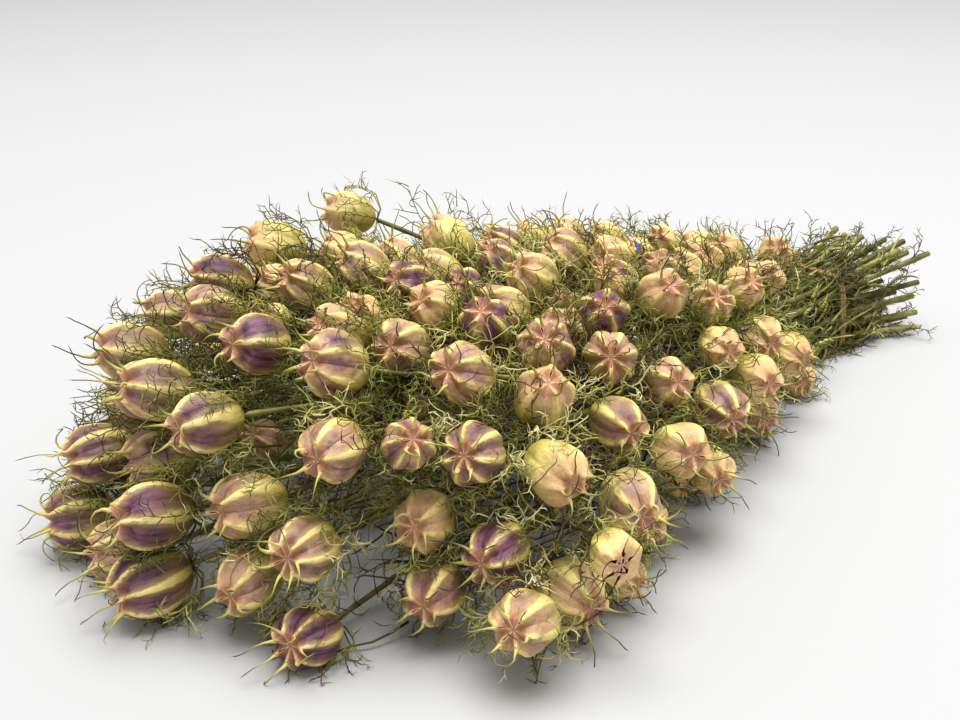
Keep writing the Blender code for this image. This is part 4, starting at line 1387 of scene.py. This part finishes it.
PETAL_PLACE = (-135 * MM, -6 * MM, 76 * MM)
PETAL_LONG = 7 * MM
PETAL_WIDE = 4.5 * MM
PETAL_THICK = 0.12 * MM
PETAL_TURNS = (math.radians(38), math.radians(-24), math.radians(62))
bpy.ops.mesh.primitive_grid_add(x_subdivisions=14, y_subdivisions=8, size=1)
petal = bpy.context.object
petal.name = "late_petal"
for point in petal.data.vertices:
    along, across = point.co.x + 0.5, point.co.y * 2
    broad = math.sin(math.pi * (0.08 + 0.84 * along)) ** 0.8
    lift = 0.25 * (along - 0.5) ** 2 + 0.18 * (across * broad) ** 2 + 0.03 * math.sin(9 * along + 4 * across)
    point.co = Vector((along * PETAL_LONG, across * broad * PETAL_WIDE / 2, lift * PETAL_LONG))
bpy.ops.object.modifier_add(type="SOLIDIFY")
petal.modifiers["Solidify"].thickness = PETAL_THICK
bpy.ops.object.modifier_apply(modifier="Solidify")
petal.rotation_euler = PETAL_TURNS
petal.location = from_tie + Vector(PETAL_PLACE)
bpy.ops.object.transform_apply(location=True, rotation=True, scale=True)
bpy.ops.object.shade_smooth()
# Dried petal: thin violet skin, matt, so it shows its colour without a gleam.
petal_skin = new_material("dried_blue_petal", IOR=1.4, Roughness=0.6, Base_Color=linear("5650A8"))
petal.data.materials.append(petal_skin)
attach(petal, "root")

# Leaves round the tie
# The lowest leaves of all the stems are caught under and round the twine, matted, and hide most of it.
# Behind it, withered leaf stalks fill the gaps between the cut ends.

WRAPS = 480
WRAP_REACH = 8 * MM
WRAP_OUT = (0.5 * MM, 4 * MM)
WRAP_LONG = (11 * MM, 20 * MM)
WRAP_LEAST = 1 * MM
wrap = Tangle()
picked = gen.integers(TWINE_POINTS, size=WRAPS)
outs = np.array([ring[i][1] for i in picked]) + gen.normal(scale=0.15, size=(WRAPS, 3))
starts = np.array([ring[i][0] + from_tie for i in picked]) + outs * gen.uniform(*WRAP_OUT, (WRAPS, 1))
starts[:, 0] += gen.normal(scale=WRAP_REACH, size=WRAPS)
starts[:, 2] = np.maximum(starts[:, 2], WRAP_LEAST)
headings = gen.normal(size=(WRAPS, 3)) * np.array([1.6, 0.7, 0.5])
lengths = gen.uniform(*WRAP_LONG, WRAPS)
wrap.add("curl", grow(starts, headings, lengths, 6, 0.7), gen.normal(0.45, 0.2, WRAPS))

STRAWS = 420
STRAW_LONG = (14 * MM, 30 * MM)
STRAW_SWAY = np.array([2, 3.5, 3.5]) * MM
STRAW_LEAST = 1.5 * MM
picked = gen.integers(len(stems), size=STRAWS)
shares = gen.uniform(-0.8, 0.55, STRAWS)
starts = []
for i, share in zip(picked, shares):
    starts.append(on_run(stems[i], -stems[i]["tail"] * share) + from_tie)
starts = np.array(starts) + gen.normal(size=(STRAWS, 3)) * STRAW_SWAY
starts[:, 2] = np.maximum(starts[:, 2], STRAW_LEAST)
turns = np.array([stems[i]["turn"] for i in picked])
back = np.stack([np.cos(turns), np.sin(turns) * TAIL_FAN, np.full(STRAWS, 0.15)], axis=1)
headings = back + gen.normal(scale=0.16, size=(STRAWS, 3))
stalks = grow(starts, headings, gen.uniform(*STRAW_LONG, STRAWS), 6, 0.16)
wrap.add("stalk", stalks, gen.normal(0.6, 0.14, STRAWS))
make_piece("leaves_round_tie", wrap.parts(), [leaf_material])

# The tie
# Two turns of jute twine, laid from three yarns and pulled tight round the waist. They are held by a
# knot on top, with two short ends.

YARNS = 3
YARN_RADIUS = 0.52 * MM
LAY_RADIUS = 0.52 * MM
LAY_PITCH = 5.2 * MM
YARN_SIDES = 5
TURN_APART = 2.1 * MM
SUNK = 0.3 * MM


def jute():
    """Jute yarn: dull golden-brown bast fibre, uneven in colour along its length. The fibres are drawn
    coarser than the real ones, which are too fine to show."""
    made = new_material("jute_twine", IOR=1.5, Roughness=0.85)
    where = add_node(made, "ShaderNodeTexCoord", output="Object")
    fine = {"Vector": where, "Scale": 1 / (0.6 * MM), "Detail": 4.0, "Roughness": 0.65}
    fibres = add_node(made, "ShaderNodeTexNoise", fine)
    golds = ((0.25, "6E5330"), (0.5, "A3834F"), (0.75, "C9AC74"))
    colour = add_node(made, "ShaderNodeValToRGB", {"Fac": fibres}, golds)
    bump = add_node(made, "ShaderNodeBump", {"Height": fibres, "Strength": 0.7, "Distance": 0.15 * MM})
    return finished(made, Base_Color=colour, Normal=bump)


def laid_twine(line, first_turn):
    """Three yarns laid round a middle line."""
    walked = walked_along(line)
    tangents = unit(np.gradient(line, axis=0))
    sideways = np.array([1.0, 0, 0])
    parts = []
    for yarn in range(YARNS):
        turn = math.tau * (yarn / YARNS + walked / LAY_PITCH) + first_turn
        u = unit(sideways - tangents * (tangents @ sideways)[:, None])
        v = np.cross(tangents, u)
        path = line + (u * np.cos(turn)[:, None] + v * np.sin(turn)[:, None]) * LAY_RADIUS
        radii = np.full((1, len(path) - 1), YARN_RADIUS)
        tubes, faces = skin_tubes(path[None], radii, YARN_SIDES)
        parts.append(part_of(tubes, faces))
    return parts


middle = [np.array(at + from_tie) - np.array(out) * SUNK for at, out in ring]
loop = smooth_through(middle + middle[:3], 10)[10:-10]
twine = []
for side in (-1, 1):
    line = loop + np.array([side * TURN_APART / 2, 0, 0])
    twine += laid_twine(line, side)

# In the knot the twine goes once and a half round both turns, and its two ends lie flat.
KNOT_HALF = 2.3 * MM
KNOT_HIGH = 1.7 * MM
KNOT_LONG = 2.4 * MM
KNOT_END = 13 * MM
END_BEND = ((0.3, 0.1, 0.2), (0.6, 0.35, 0.12), (1, 0.5, 0))
uppermost = max(range(TWINE_POINTS), key=lambda i: ring[i][0].z)
knot_at, up_out = middle[uppermost], np.array(ring[uppermost][1])
crosswise = np.array([1.0, 0, 0])
lengthwise = np.cross(up_out, crosswise)
turns = np.linspace(-math.pi * 0.5, math.pi * 2.5, 28)
knot = knot_at + np.outer(np.cos(turns) * KNOT_HALF, crosswise)
knot += np.outer(np.sin(turns) * KNOT_HIGH, up_out)
knot += np.outer(np.linspace(-0.5, 0.5, len(turns)) * KNOT_LONG, lengthwise)
twine += laid_twine(knot, 0)
for side in (-1, 1):
    end_line = [knot_at + up_out * KNOT_HIGH]
    for x, y, z in np.array(END_BEND) * KNOT_END:
        flat = side * (crosswise * x + lengthwise * y)
        end_line.append(knot_at + flat + up_out * (KNOT_HIGH + z))
    twine += laid_twine(smooth_through(end_line, 7), 0)
make_piece("tie_twine", twine, [jute()], ["tie"])

# The floor, the light and the camera
# A pale, seamless, flat floor of paper under soft light from a wide box overhead and from all round. The
# camera looks down on the bunch from the side of its near flank.

FLOOR_WIDE = 30
bpy.ops.mesh.primitive_plane_add(size=FLOOR_WIDE, location=(0, 0, 0))
floor = bpy.context.object
floor.name = "floor"
bpy.ops.object.transform_apply(location=True, rotation=True, scale=True)
# Matt backdrop paper, a little grey, so that soft shadows show on it.
paper = new_material("white_backdrop_paper", IOR=1.5, Roughness=0.9, Base_Color=linear("B6B6B6"))
floor.data.materials.append(paper)

SKY_STRENGTH = 0.62
world = bpy.data.worlds.new("studio")
bpy.context.scene.world = world
world.use_nodes = True
world.node_tree.nodes["Background"].inputs["Color"].default_value = (1, 1, 1, 1)
world.node_tree.nodes["Background"].inputs["Strength"].default_value = SKY_STRENGTH
bpy.context.scene.view_settings.view_transform = "Standard"

SOFTBOX_WIDE = 2.0
SOFTBOX_WATTS = 100
softbox = bpy.data.lights.new("softbox", "AREA")
softbox.shape = "RECTANGLE"
softbox.size = SOFTBOX_WIDE
softbox.size_y = SOFTBOX_WIDE
softbox.energy = SOFTBOX_WATTS
softbox_object = bpy.data.objects.new("softbox", softbox)
softbox_object.location = (0.15, -0.05, 2.4)
softbox_object.rotation_euler = (-softbox_object.location).to_track_quat("-Z", "Y").to_euler()
bpy.context.scene.collection.objects.link(softbox_object)

AZIMUTH = math.radians(-38.5)
LOOK_DOWN = math.radians(22.5)
CAMERA_RIGHT = 172 * MM
CAMERA_BACK = 655 * MM
CAMERA_HEIGHT = 258 * MM
LENS = 50
SENSOR = 36
to_right = Vector((math.cos(AZIMUTH), math.sin(AZIMUTH), 0))
inward = Vector((-math.sin(AZIMUTH), math.cos(AZIMUTH), 0))
up = Vector((0, 0, 1))
tie_middle = Vector(((tie_low.x + tie_high.x) / 2, (tie_low.y + tie_high.y) / 2, 0))
camera = bpy.data.cameras.new("camera")
camera.lens = LENS
camera.sensor_width = SENSOR
camera.clip_start = 0.01
camera_object = bpy.data.objects.new("camera", camera)
camera_object.location = tie_middle - to_right * CAMERA_RIGHT - inward * CAMERA_BACK + up * CAMERA_HEIGHT
looking = inward * math.cos(LOOK_DOWN) - up * math.sin(LOOK_DOWN)
camera_object.rotation_euler = looking.to_track_quat("-Z", "Y").to_euler()
bpy.context.scene.collection.objects.link(camera_object)
bpy.context.scene.camera = camera_object
